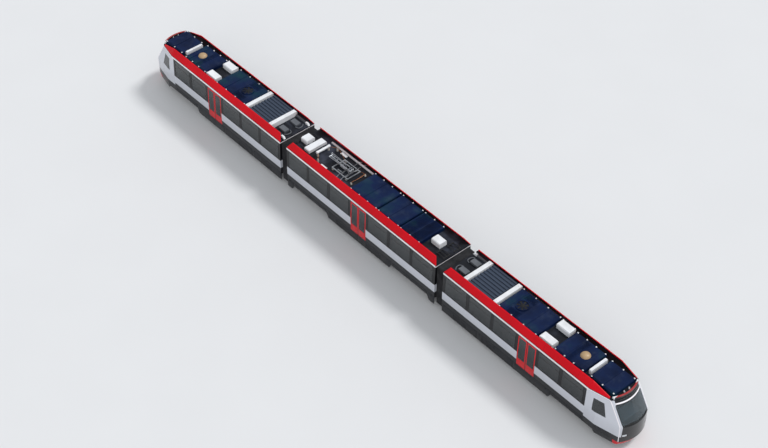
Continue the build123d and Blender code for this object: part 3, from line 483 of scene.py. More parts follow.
def moulded(name, hex_colour, roughness):
    # Moulded rubber, silicone or plastic, or pressed carbon: even, with the fine grain of its tool
    material, tree, place = new_finish(name, roughness=roughness)
    colour = linear(hex_colour)
    tone = mottled(tree, place, 125, [(0.3, shade(colour, 0.8)), (0.7, colour)], 4.0)
    return surfaced(material, tone, grained(tree, place, 8))


finishes = {}
finish_makers = {
    "body_panels": side_livery,
    "skirt_grey": lambda: enamel("skirt_enamel_grey", colours().grey, 0.15, 0.6, 0.25, 0.4),
    "cab_white": cab_enamel,
    "red_paint": lambda: enamel("coach_enamel_red", colours().red, 0.3, 1.1, 0.3),
    "roof_sheet": deck_coating,
    "roof_units": unit_coat,
    "door_red": door_enamel,
    "fairing_red": fairing_enamel,
    "line": lambda: enamel("cantrail_enamel_white", colours().line, 0.2, 0.9),
    "roof_cases": case_coat,
    "glazing": lambda: tinted_glass("tinted_side_glass", "4a5054", 0.7),
    "windscreen": lambda: tinted_glass("laminated_windscreen", "a3b4bd", 0.92),
    "front_mask": front_gelcoat,
    "lamp_lens": lamp_cover,
    "underframe_steel": lambda: dusty_steel("underframe_paint", "24262a", "5a5048"),
    "bogie_steel": lambda: dusty_steel("bogie_paint", "2b2d31", "6a5a4c"),
    "track_brake": lambda: dusty_steel("track_brake_iron", "3a3632", "6b5a4a", 0.7, 0.55),
    "wheel_steel": lambda: worn_metal("rolled_wheel_steel", "5f5048", "3b322d", 0.5, 38),
    "tread_steel": tread_steel,
    "brake_disc": lambda: worn_metal("brake_disc_iron", "6d6a67", "4b4542", 0.5, 17),
    "bellows_fabric": bellows_cloth,
    "seat_shell": interior_plastic,
    "panto_metal": lambda: worn_metal("pantograph_aluminium", "d5d8dc", "a4a8ad", 0.38),
    "copper": lambda: worn_metal("busbar_copper", "c98b62", "8f5a3c", 0.4),
    "carbon": lambda: moulded("contact_carbon", "2a2a2c", 0.6),
    "insulator": lambda: moulded("insulator_silicone", "a8a39c", 0.4),
    "rubber": lambda: moulded("moulded_rubber_black", "141518", 0.7),
    "sleeve": lambda: moulded("conduit_sleeve_grey", "5d6167", 0.6),
    "dome": lambda: moulded("aerial_dome_tan", "b79a74", 0.4),
}


def finish_of(key):
    """The material of that key, made the first time that it is asked for."""
    if key not in finishes:
        finishes[key] = finish_makers[key]()
    return finishes[key]


# Modelling helpers

def deselect():
    bpy.ops.object.select_all(action="DESELECT")


def make_active(obj):
    deselect()
    obj.select_set(True)
    bpy.context.view_layer.objects.active = obj


@contextmanager
def editing(obj, faces=None, edges=None):
    """Edit mode with all of a piece selected, or only the faces or edges that pass a test."""
    make_active(obj)
    picked = bool(faces or edges)
    bpy.ops.object.mode_set(mode="EDIT")
    bpy.ops.mesh.select_mode(type="EDGE" if edges else "FACE")
    bpy.ops.mesh.select_all(action="DESELECT" if picked else "SELECT")
    if picked:
        bpy.ops.object.mode_set(mode="OBJECT")
        for face in obj.data.polygons if faces else ():
            face.select = bool(faces(face.center, face.normal))
        for edge in obj.data.edges if edges else ():
            a, b = (obj.data.vertices[i].co for i in edge.vertices)
            edge.select = bool(edges((a + b) / 2, (b - a).normalized()))
        bpy.ops.object.mode_set(mode="EDIT")
    yield
    bpy.ops.object.mode_set(mode="OBJECT")


def facing(way):
    """A test for faces that look one way, such as +Z, or either way along an axis, such as X."""
    index = "XYZ".index(way[-1])
    if way[0] == "+":
        return lambda centre, normal: normal[index] > 0.9
    if way[0] == "-":
        return lambda centre, normal: normal[index] < -0.9
    return lambda centre, normal: abs(normal[index]) > 0.9


def apply_place(obj):
    make_active(obj)
    bpy.ops.object.transform_apply(location=True, rotation=True, scale=True)
    return obj


def apply_modifier(obj, kind, **settings):
    make_active(obj)
    modifier = obj.modifiers.new(kind.lower(), kind)
    for key, value in settings.items():
        setattr(modifier, key, value)
    bpy.ops.object.modifier_apply(modifier=modifier.name)
    return obj


def moved(obj, matrix):
    """Moves a piece by a matrix and applies its place."""
    obj.matrix_world = matrix
    return apply_place(obj)


def turned(obj, angle, axis):
    """Turns a piece about an axis through the origin, by degrees."""
    return moved(obj, Matrix.Rotation(math.radians(angle), 4, axis))


def placed(obj, x, y, z):
    return moved(obj, Matrix.Translation((x, y, z)))


def copied(obj, matrix):
    """A copy with its own mesh, moved by a matrix."""
    twin = obj.copy()
    twin.data = obj.data.copy()
    bpy.context.scene.collection.objects.link(twin)
    return moved(twin, matrix)


def joined(objects):
    objects = list(objects)
    make_active(objects[0])
    for obj in objects:
        obj.select_set(True)
    if len(objects) > 1:
        bpy.ops.object.join()
    return bpy.context.object


def row_of(obj, count, step):
    """A piece and its copies in a row, joined."""
    step = Vector(step)
    return joined([obj] + [copied(obj, Matrix.Translation(step * i)) for i in range(1, count)])


def circle_of(obj, count, angle):
    """A piece and its copies, turned round Z by steps of so many degrees, joined."""
    turns = [Matrix.Rotation(math.radians(angle * i), 4, "Z") for i in range(1, count)]
    return joined([obj] + [copied(obj, turn) for turn in turns])


def copies_at(obj, places):
    """Copies of a piece made at the origin, joined at their places."""
    twins = [copied(obj, Matrix.Translation(Vector(place))) for place in places]
    bpy.data.objects.remove(obj)
    return joined(twins)


def on_both_sides(obj):
    """Adds the same shape on the other side of the car."""
    return apply_modifier(obj, "MIRROR", use_axis=(False, True, False), use_mirror_merge=False)


def block(low, high):
    """A block between two corners, as a start."""
    deselect()
    low, high = Vector(low), Vector(high)
    bpy.ops.mesh.primitive_cube_add(size=1, location=(low + high) / 2)
    obj = bpy.context.object
    obj.scale = high - low
    return apply_place(obj)


def rounded(obj, width, segments=2):
    return apply_modifier(obj, "BEVEL", width=width, segments=segments, limit_method="ANGLE")


def rounded_edges(obj, edges, radius, segments):
    """Rounds the edges that pass a test."""
    with editing(obj, edges=edges):
        bpy.ops.mesh.bevel(offset=radius, segments=segments, affect="EDGES")
    return obj


def tapered(obj, way, scale):
    """Scales the end of a piece that faces one way."""
    with editing(obj, faces=facing(way)):
        bpy.ops.transform.resize(value=scale)
    return obj


def sunk(obj, way, rim, slope, depth):
    """Sinks the face that looks one way, inside a rim and a slope of those widths."""
    with editing(obj, faces=facing(way)):
        bpy.ops.mesh.inset(thickness=rim)
        bpy.ops.mesh.inset(thickness=slope, depth=-depth)
    return obj


def stations(low, high, count):
    """The places that divide a stretch into so many steps."""
    return [low + (high - low) * i / count for i in range(1, count)]


def cut_across(obj, places, axis):
    """Divides a piece at places along an axis."""
    way = Vector((axis == "X", axis == "Y", axis == "Z"))
    for place in places:
        with editing(obj):
            bpy.ops.mesh.bisect(plane_co=way * place, plane_no=way)
    return obj


def lathe(profile, steps):
    """A body turned about Z from (radius, height) points, closed at its poles or as a ring."""
    deselect()
    bpy.ops.mesh.primitive_plane_add(size=0.01)
    obj = bpy.context.object
    with editing(obj):
        bpy.ops.mesh.select_mode(type="VERT")
        bpy.ops.mesh.merge(type="CENTER")
        place = Vector((profile[0][0], 0, profile[0][1]))
        bpy.ops.transform.translate(value=place)
        for radius, height in profile[1:]:
            point = Vector((radius, 0, height))
            bpy.ops.mesh.extrude_region_move(TRANSFORM_OT_translate={"value": point - place})
            place = point
        bpy.ops.mesh.select_all(action="SELECT")
        bpy.ops.mesh.spin(steps=steps, angle=2 * math.pi, center=(0, 0, 0), axis=(0, 0, 1))
        bpy.ops.mesh.select_all(action="SELECT")
        bpy.ops.mesh.remove_doubles(threshold=0.00002)
        bpy.ops.mesh.normals_make_consistent(inside=False)
    return obj


def aimed(start, end):
    """The matrix that lays a bar made along Z on the way from one point to another."""
    turn = Vector((0, 0, 1)).rotation_difference(end - start).to_matrix().to_4x4()
    return Matrix.Translation(start) @ turn


def bar_between(start, end, radius, sides):
    """A round bar from one point to another, its ends chamfered by a share of its radius."""
    start, end = Vector(start), Vector(end)
    cut, half = radius * 0.15, (end - start).length / 2
    bar = lathe([
        (0, -half), (radius - cut, -half), (radius, cut - half),
        (radius, half - cut), (radius - cut, half), (0, half),
    ], sides)
    return moved(bar, Matrix.Translation((end - start) / 2) @ aimed(start, end))


def bent_pipe(points, radius):
    """A rigid pipe bent along a few points, its corners eased."""
    deselect()
    bpy.ops.curve.primitive_nurbs_path_add()
    obj = bpy.context.object
    obj.data.splines.clear()
    spline = obj.data.splines.new("NURBS")
    spline.points.add(len(points) - 1)
    for point, place in zip(spline.points, points):
        point.co = (*place, 1.0)
    spline.order_u = 3
    spline.use_endpoint_u = True
    spline.resolution_u = 5
    obj.data.bevel_depth = radius
    obj.data.bevel_resolution = 3
    obj.data.use_fill_caps = True
    make_active(obj)
    bpy.ops.object.convert(target="MESH")
    return bpy.context.object


def pipe_pair(points, radius):
    """The same pipe on either side of the car."""
    return [bent_pipe([(x, side * y, z) for x, y, z in points], radius) for side in (-1, 1)]


def smooth(obj, angle=30.0):
    make_active(obj)
    bpy.ops.object.shade_smooth_by_angle(angle=math.radians(angle))
    return obj


def finished(obj, name, finish, body, replaced=()):
    """Names a piece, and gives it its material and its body."""
    obj.name = name
    obj.data.name = name
    smooth(obj)
    if not obj.data.materials:
        obj.data.materials.append(finish_of(finish))
    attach(obj, body)
    if replaced:
        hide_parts(*replaced)
    return obj


def at_both_ends(obj, name, finish, replaced=None):
    """A piece of the front car, and its copy turned half round on the rear car."""
    rear = copied(obj, Matrix.Rotation(math.pi, 4, "Z"))
    for piece, end in ((obj, "front"), (rear, "rear")):
        nodes = [f"{end}_{replaced}"] if replaced else []
        finished(piece, f"{end}_{name}", finish, f"car_{end}", nodes)


def on_middle(obj, name, finish, replaced=()):
    """A piece of the middle car."""
    finished(obj, name, finish, "car_middle", replaced)


def on_wall(obj):
    """Leans a piece made upright at the wall's face, so that it follows the wall above the waist."""
    cut_across(obj, [waist_z], "Z")
    for vertex in obj.data.vertices:
        rise = max(vertex.co.z - waist_z, 0.0)
        vertex.co.y -= math.copysign(rise * wall_lean, vertex.co.y)
    return obj


def on_front(obj, cuts):
    """Wraps a piece made flat at X = 0 round the bowed and raked front."""
    widths = [vertex.co.y for vertex in obj.data.vertices]
    cut_across(obj, stations(min(widths), max(widths), cuts), "Y")
    for vertex in obj.data.vertices:
        y, z = vertex.co.y, vertex.co.z
        bow = front_radius - math.sqrt(front_radius ** 2 - y * y)
        slide = screen_rake * max(z - waist_z, 0.0) + bumper_rake * max(bumper_z - z, 0.0)
        vertex.co.x += nose_x - bow - slide
    return obj


def ring(low, high, rim, axis, corner=0.02, segments=4):
    """A rectangular ring with round corners, its hole along an axis."""
    index = "XYZ".index(axis)
    obj = rounded_edges(block(low, high), lambda middle, way: abs(way[index]) > 0.9, corner, segments)
    with editing(obj, faces=facing(axis)):
        bpy.ops.mesh.inset(thickness=rim, use_individual=True)
        bpy.ops.mesh.bridge_edge_loops()
    return obj


def lid(low, high, rim=0.02, depth=0.004, edge=0.004):
    """A cover: a block whose top is pressed down inside a raised rim."""
    return rounded(sunk(block(low, high), "+Z", rim, rim * 0.3, depth), edge)


def pressed_in(obj, start, end, low, high, depth):
    """Presses a field of a panel's outer face inwards, between two stations and two levels."""
    cut_across(cut_across(obj, (start, end), "X"), (low, high), "Z")
    with editing(obj, faces=lambda centre, normal: (
        normal.y < -0.9 and start < centre.x < end and low < centre.z < high
    )):
        bpy.ops.mesh.extrude_region_move(TRANSFORM_OT_translate={"value": (0, depth, 0)})
    return obj


def cut_off(obj, point, way):
    """Cuts away what lies beyond a plane, and closes the cut."""
    with editing(obj):
        bpy.ops.mesh.bisect(plane_co=point, plane_no=way, clear_outer=True, use_fill=True)
    return obj


def grille(start, end, y0, y1, top, count):
    """A grille lying on a unit's top: a tray with slats across it."""
    rim, depth, low, high = 0.018, 0.012, top - seating, top + 0.012
    tray = block((start, y0, low), (end, y1, high))
    with editing(tray, faces=facing("+Z")):
        bpy.ops.mesh.inset(thickness=rim)
        bpy.ops.mesh.extrude_region_move(TRANSFORM_OT_translate={"value": (0, 0, -depth)})
    pitch = (end - start - 2 * rim) / count
    x = start + rim + pitch * 0.25
    slat = block((x, y0 + rim, high - depth), (x + pitch * 0.5, y1 - rim, high - 0.001))
    return joined([rounded(tray, 0.003, 1), row_of(rounded(slat, 0.0015, 1), count, (pitch, 0, 0))])


# Pieces

class METRO_OT_cad_finishes(bpy.types.Operator):
    """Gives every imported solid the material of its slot"""

    bl_idname = "metro_car.cad_finishes"
    bl_label = "Finish the packed solids"

    own_finishes = {"windscreen": "windscreen", "doors": "door_red", "fairings": "fairing_red"}

    def execute(self, context):
        for row in frame["record"]["subparts"]:
            mesh = frame["nodes"][row["node"]].data
            part = row["node"].split("_", 1)[1]
            mesh.materials.clear()
            mesh.materials.append(finish_of(self.own_finishes.get(part, row["material_slot"])))
        return {"FINISHED"}


class METRO_OT_wheels(bpy.types.Operator):
    """Models the turned wheels with their brake discs on their axles"""

    bl_idname = "metro_car.wheels"
    bl_label = "Wheels and axles"

    def execute(self, context):
        wheel = self.wheel()
        axle = lathe([
            (0.0, -0.338), (0.036, -0.338), (0.036, -0.315), (0.034, -0.310), (0.034, -0.235),
            (0.036, -0.230), (0.036, 0.230), (0.034, 0.235), (0.034, 0.310), (0.036, 0.315),
            (0.036, 0.338), (0.0, 0.338),
        ], 24)
        other = copied(wheel, Matrix.Rotation(math.pi, 4, "X"))
        whole = turned(joined([wheel, other, axle]), -90, "X")
        mesh = whole.data
        for key in ("wheel_steel", "tread_steel", "brake_disc"):
            mesh.materials.append(finish_of(key))
        for face in mesh.polygons:
            radius = math.hypot(face.center.x, face.center.z)
            on_tread = radius > 0.183 and abs(face.center.y) > rim_y
            on_disc = 0.08 < radius < 0.139 and abs(face.center.y) > disc_y - 0.001
            face.material_index = 1 if on_tread else 2 if on_disc else 0
        for name in [n for n in frame["nodes"] if n.startswith("wheelset")]:
            low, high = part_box(name)
            middle = (low + high) / 2
            wheels = copied(whole, Matrix.Translation((middle.x, 0, middle.z)))
            finished(wheels, name.replace("wheelset", "wheels"), "wheel_steel", name, [name])
        bpy.data.objects.remove(whole)
        return {"FINISHED"}

    def wheel(self):
        """Hub, dished web, rim and flange, with the brake disc, the axle's cap and its bolts."""
        rolled = lathe([
            (0.034, 0.334), (0.060, 0.334), (0.064, 0.344), (0.066, 0.356), (0.110, 0.366),
            (0.148, 0.362), (0.160, 0.343), (0.186, rim_y), (0.1955, 0.3425), (0.1985, 0.349),
            (0.1965, 0.355), (0.1880, 0.3585), (0.1850, 0.364), (0.1842, 0.403), (0.1815, 0.406),
            (0.160, 0.406), (0.148, 0.386), (0.110, 0.382), (0.066, 0.390), (0.062, 0.412),
            (0.034, 0.412), (0.034, 0.334),
        ], 64)
        disc = lathe([
            (0.072, 0.388), (0.138, 0.388), (0.140, 0.390), (0.140, 0.402), (0.138, disc_y),
            (0.086, disc_y), (0.072, 0.396), (0.072, 0.388),
        ], 48)
        cap = lathe([(0.0, 0.404), (0.034, 0.404), (0.040, 0.412), (0.038, 0.419), (0.0, 0.422)], 24)
        bolt = placed(lathe([(0.0, 0.0), (0.006, 0.0), (0.006, 0.004), (0.0, 0.005)], 6), 0.050, 0, 0.412)
        return joined([rolled, disc, cap, circle_of(bolt, 8, 45)])


class METRO_OT_bogie_gear(bpy.types.Operator):
    """Models the air springs' bellows, the track brakes and the rail guards of the bogies"""

    bl_idname = "metro_car.bogie_gear"
    bl_label = "Bogie gear"

    def execute(self, context):
        for name, x in bogie_places.items():
            springs = copies_at(self.air_spring(), [(x, side * spring_y, 0) for side in (-1, 1)])
            finished(springs, f"{name}_air_springs", "rubber", name)
            finished(self.track_brakes(x), f"{name}_track_brakes", "track_brake", name)
            guards = [self.rail_guard(x, end, side) for end in (-1, 1) for side in (-1, 1)]
            finished(joined(guards), f"{name}_rail_guards", "bogie_steel", name)
        return {"FINISHED"}

    def air_spring(self):
        """Two-fold rubber bellows between its clamping rings."""
        return lathe([
            (0.0, 0.274), (0.084, 0.274), (0.084, 0.283), (0.0805, 0.286), (0.0865, 0.302),
            (0.0865, 0.330), (0.081, 0.348), (0.081, 0.360), (0.0865, 0.378), (0.0865, 0.406),
            (0.0805, 0.424), (0.083, 0.427), (0.083, 0.4365), (0.0, 0.4365),
        ], 32)

    def track_brakes(self, x):
        """Magnets with their pole shoes, each hung over a rail from the transom by two spring pots."""
        y = rail_y
        magnet = rounded(block((x - 0.19, y - 0.019, 0.052), (x + 0.19, y + 0.019, 0.098)), 0.004)
        shoe = tapered(block((x - 0.19, y - 0.016, 0.030), (x - 0.135, y + 0.016, 0.054)), "-Z", (0.86, 1, 1))
        shoes = row_of(rounded(shoe, 0.002), 6, (0.065, 0, 0))
        pot = lathe([
            (0.0, 0.094), (0.016, 0.094), (0.016, 0.102), (0.009, 0.105), (0.009, 0.128), (0.022, 0.131),
            (0.022, 0.178), (0.026, 0.181), (0.026, 0.191), (0.0, 0.191),
        ], 20)
        pots = copies_at(pot, [(x - 0.075, y, 0), (x + 0.075, y, 0)])
        return on_both_sides(joined([magnet, shoes, pots]))

    def rail_guard(self, x, end, side):
        """A bent bar from the frame's end with a plate hung in front of the wheel."""
        bar = bent_pipe([(x + end * out, side * y, z) for out, y, z in (
            (0.53, 0.27, 0.205), (0.63, 0.27, 0.205), (0.70, 0.29, 0.200),
            (0.705, 0.345, 0.185), (0.705, rail_y, 0.150), (0.705, rail_y, 0.070),
        )], 0.014)
        y0, y1 = sorted((side * 0.343, side * 0.399))
        x0, x1 = sorted((x + end * 0.712, x + end * 0.724))
        plate = tapered(block((x0, y0, 0.022), (x1, y1, 0.120)), "-Z", (1, 0.7, 1))
        return joined([bar, rounded(plate, 0.003)])


class METRO_OT_bellows(bpy.types.Operator):
    """Models the folded bellows round the gangways"""

    bl_idname = "metro_car.bellows"
    bl_label = "Gangway bellows"

    folds, steps = 12, 6

    def execute(self, context):
        for end in ("front", "rear"):
            low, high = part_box(f"{end}_bellows")
            tunnel, aprons = self.tunnel(low, high), self.aprons(low.x, high.x)
            for cloth, piece in ((tunnel, "bellows_cloth"), (aprons, "bellows_aprons")):
                cloth.name = cloth.data.name = f"{end}_{piece}"
                smooth(cloth, 50)
                cloth.data.materials.append(finish_of("bellows_fabric"))
                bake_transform(cloth)
            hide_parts(f"{end}_bellows")
        return {"FINISHED"}

    def fall(self, x, start, end):
        """How far the cloth falls in, from 0 on its round crests to 1 in its sharp valleys."""
        return 1 - abs(math.sin(math.pi * self.folds * (x - start) / (end - start))) ** 0.6

    def tunnel(self, low, high):
        """A closed concertina of cloth round the gangway."""
        # Only the outer skin is folded. It starts at this share of the way out from the middle.
        skin = 0.93
        depth, soft_corner = sizes().fold_depth, 0.08
        tube = ring(low, high, depth + 0.012, "X", 0.075, 5)
        cut_across(tube, stations(low.x, high.x, self.folds * self.steps), "X")
        middle, half = (low + high) / 2, (high - low) / 2
        for vertex in tube.data.vertices:
            at = vertex.co - middle
            if max(abs(at.y) / half.y, abs(at.z) / half.z) < skin:
                continue
            pull = depth * self.fall(vertex.co.x, low.x, high.x)
            for axis in (1, 2):
                share = (abs(at[axis]) - half[axis] + soft_corner) / soft_corner
                vertex.co[axis] -= math.copysign(pull * min(max(share, 0.0), 1.0), at[axis])
        return tube

    def aprons(self, start, end):
        """Folded curtains under the sides of the bellows, down to the skirts' foot."""
        curtain = block((start, 0.572, 0.168), (end, 0.584, 0.405))
        cut_across(curtain, stations(start, end, self.folds * self.steps), "X")
        for vertex in curtain.data.vertices:
            vertex.co.y -= 0.022 * self.fall(vertex.co.x, start, end)
        return on_both_sides(curtain)


class METRO_OT_window_trim(bpy.types.Operator):
    """Models the rubber round the windows and their vent bars"""

    bl_idname = "metro_car.window_trim"
    bl_label = "Window trim"

    def execute(self, context):
        middle = middle_windows + [(-end, -start) for start, end in middle_windows]
        on_middle(self.trim(middle), "middle_window_trim", "rubber")
        at_both_ends(self.trim(end_car_windows), "window_trim", "rubber")
        return {"FINISHED"}

    def trim(self, windows):
        """Gaskets that stand a little proud of the leaning wall, each with the bar of its vent."""
        rim, lap, face = sizes().gasket, 0.003, -wall_y - 0.0007
        low, high = window_heights
        pieces = []
        for start, end in windows:
            near, far = (start - lap, face, low - lap), (end + lap, face + 0.009, high + lap)
            pieces.append(ring(near, far, rim, "Y", 0.03))
            bar = block((start + rim, face + 0.0002, high - 0.175), (end - rim, face + 0.006, high - 0.160))
            pieces.append(rounded(bar, 0.002))
        return on_both_sides(on_wall(joined(pieces)))


class METRO_OT_mouldings(bpy.types.Operator):
    """Models the white mouldings along the cantrails and down the front corners"""

    bl_idname = "metro_car.mouldings"
    bl_label = "Cantrail mouldings"

    def execute(self, context):
        gap, bend_x = 0.003, 8.835
        on_middle(self.straight(gap - car_end_x, car_end_x - gap), "middle_cantrail", "line")
        line = [
            (bend_x, 0.639, 1.572), (8.87, 0.631, 1.572), (9.38, 0.519, 1.572),
            (9.41, 0.510, 1.570), (9.425, 0.503, 1.556),
        ]
        line += [(self.corner_x(z), 0.499, z) for z in (1.53, 1.20, 0.90, 0.87, 0.60, 0.345)]
        sides = [self.straight(end_car_x + gap, bend_x), *pipe_pair(line, 0.013)]
        at_both_ends(joined(sides), "cantrail", "line")
        return {"FINISHED"}

    def corner_x(self, z):
        return nose_x - 0.174 - screen_rake * max(z - waist_z, 0.0)

    def straight(self, start, end):
        strip = block((start, -0.651, 1.532), (end, -0.632, 1.588))
        rounded_edges(strip, lambda middle, way: abs(way.x) > 0.9 and middle.y < -0.65, 0.007, 3)
        return on_both_sides(strip)


class METRO_OT_skirts(bpy.types.Operator):
    """Models the skirt panels with their louvres and latches"""

    bl_idname = "metro_car.skirts"
    bl_label = "Skirt panels"

    def execute(self, context):
        # Each panel: its stations, its foot, its slopes beside the bogies, and its louvres
        end_car = [
            self.panel(3.495, 4.8725, skirt_foot_z, louvres=(3.95, 4.45)),
            self.panel(4.8725, 6.250, skirt_foot_z, louvres=(5.05, 5.55)),
            self.panel(6.250, 7.6275, skirt_foot_z, slope_end=7.5475),
            self.panel(7.6275, cab_x, arch_z),
        ]
        skirts = on_both_sides(joined(end_car))
        at_both_ends(skirts, "skirt_panels", "skirt_grey", "skirts")

        half = on_both_sides(joined([
            self.panel(0.0, 1.410, skirt_foot_z, slope_end=1.330, louvres=(0.35, 0.95)),
            self.panel(1.410, 2.890, arch_z),
            self.panel(2.890, car_end_x, skirt_foot_z, slope_start=2.970),
        ]))
        whole = circle_of(half, 2, 180)
        on_middle(whole, "middle_skirt_panels", "skirt_grey", ["middle_skirts"])
        return {"FINISHED"}

    def panel(self, start, end, foot, slope_start=None, slope_end=None, louvres=None):
        """One panel with rounded edges, its foot sloping up to an arch where that is asked."""
        gap, face, back, slope_height = 0.0015, -wall_y, 0.020 - wall_y, 0.15
        panel = block((start + gap, face, foot), (end - gap, back, skirt_top_z))
        if slope_end:
            cut_off(panel, (slope_end, 0, foot), (slope_height, 0, slope_end - end))
        if slope_start:
            cut_off(panel, (slope_start, 0, foot), (-slope_height, 0, start - slope_start))
        pieces = [rounded(panel, 0.003)]
        inner, outer = (slope_start or start) + 0.09, (slope_end or end) - 0.09
        latch_z = skirt_top_z - 0.045
        for x in (inner, (inner + outer) / 2, outer):
            pressed_in(panel, x - 0.018, x + 0.018, latch_z - 0.014, latch_z + 0.014, 0.006)
            lock = lathe([(0, 0), (0.008, 0), (0.008, 0.004), (0.006, 0.005), (0, 0.005)], 12)
            pieces.append(placed(turned(lock, 90, "X"), x, face + 0.0065, latch_z))
        if louvres:
            low, high = foot + 0.05, skirt_top_z - 0.09
            pressed_in(panel, *louvres, low, high, 0.012)
            slat = block((louvres[0], face + 0.001, low + 0.002), (louvres[1], face + 0.004, low + 0.016))
            with editing(slat, faces=facing("+Z")):
                bpy.ops.transform.translate(value=(0, 0.007, 0.003))
            count = int((high - low) / 0.022)
            pieces.append(row_of(rounded(slat, 0.0008, 1), count, (0, 0, (high - low) / count)))
        return joined(pieces)


class METRO_OT_front(bpy.types.Operator):
    """Models the windscreen's border, wipers, display and lamps of both cabs"""

    bl_idname = "metro_car.front"
    bl_label = "Cab front"

    def execute(self, context):
        self.border()
        self.wipers()
        self.display()
        self.lamps()
        return {"FINISHED"}

    def border(self):
        """Rubber round the windscreen, and the white line above it."""
        seal = ring((-0.004, -0.452, 0.897), (0.0015, 0.452, 1.443), 0.014, "X", 0.045)
        at_both_ends(on_front(seal, 16), "screen_seal", "rubber")
        line = rounded(block((-0.004, -0.432, 1.452), (0.003, 0.432, 1.488)), 0.001, 1)
        at_both_ends(on_front(line, 16), "screen_line", "line")

    def wipers(self):
        """Two wipers parked low across the windscreen: hub, arm and blade."""
        hub = turned(lathe([(0, 0), (0.020, 0), (0.018, 0.008), (0.010, 0.012), (0, 0.013)], 20), 90, "Y")
        arm = rounded(block((0.007, 0.14, 0.907), (0.011, 0.33, 0.920)), 0.0015)
        blade = sunk(block((0.002, 0.03, 0.926), (0.012, 0.38, 0.938)), "+X", 0.002, 0.001, 0.003)
        parts = [
            on_front(placed(hub, -0.001, 0.33, 0.905), 2),
            on_front(arm, 6),
            on_front(rounded(blade, 0.001, 1), 8),
        ]
        at_both_ends(on_both_sides(joined(parts)), "wipers", "rubber")

    def display(self):
        """The display's glass panel over the windscreen, blank and dark."""
        panel = sunk(block((-0.003, -0.30, 1.494), (0.001, 0.30, 1.550)), "+X", 0.008, 0.002, 0.0012)
        at_both_ends(on_front(panel, 12), "display", "windscreen")

    def lamps(self):
        """Two round lenses in a bezel on each side, over the lamp's cover."""
        pair_y, z = 0.385, 0.560
        lenses = []
        for y in (pair_y - 0.023, pair_y + 0.023):
            lens = lathe([(0.0, 0.0), (0.016, 0.0), (0.017, 0.003), (0.012, 0.006), (0.0, 0.0075)], 24)
            lenses.append(on_front(placed(turned(lens, 90, "Y"), -0.0045, y, z), 2))
        bezel = ring((-0.006, pair_y - 0.062, z - 0.042), (0.0015, pair_y + 0.062, z + 0.042), 0.008, "X")
        at_both_ends(on_both_sides(joined(lenses)), "lamp_lenses", "lamp_lens")
        at_both_ends(on_both_sides(on_front(bezel, 4)), "lamp_bezels", "rubber")


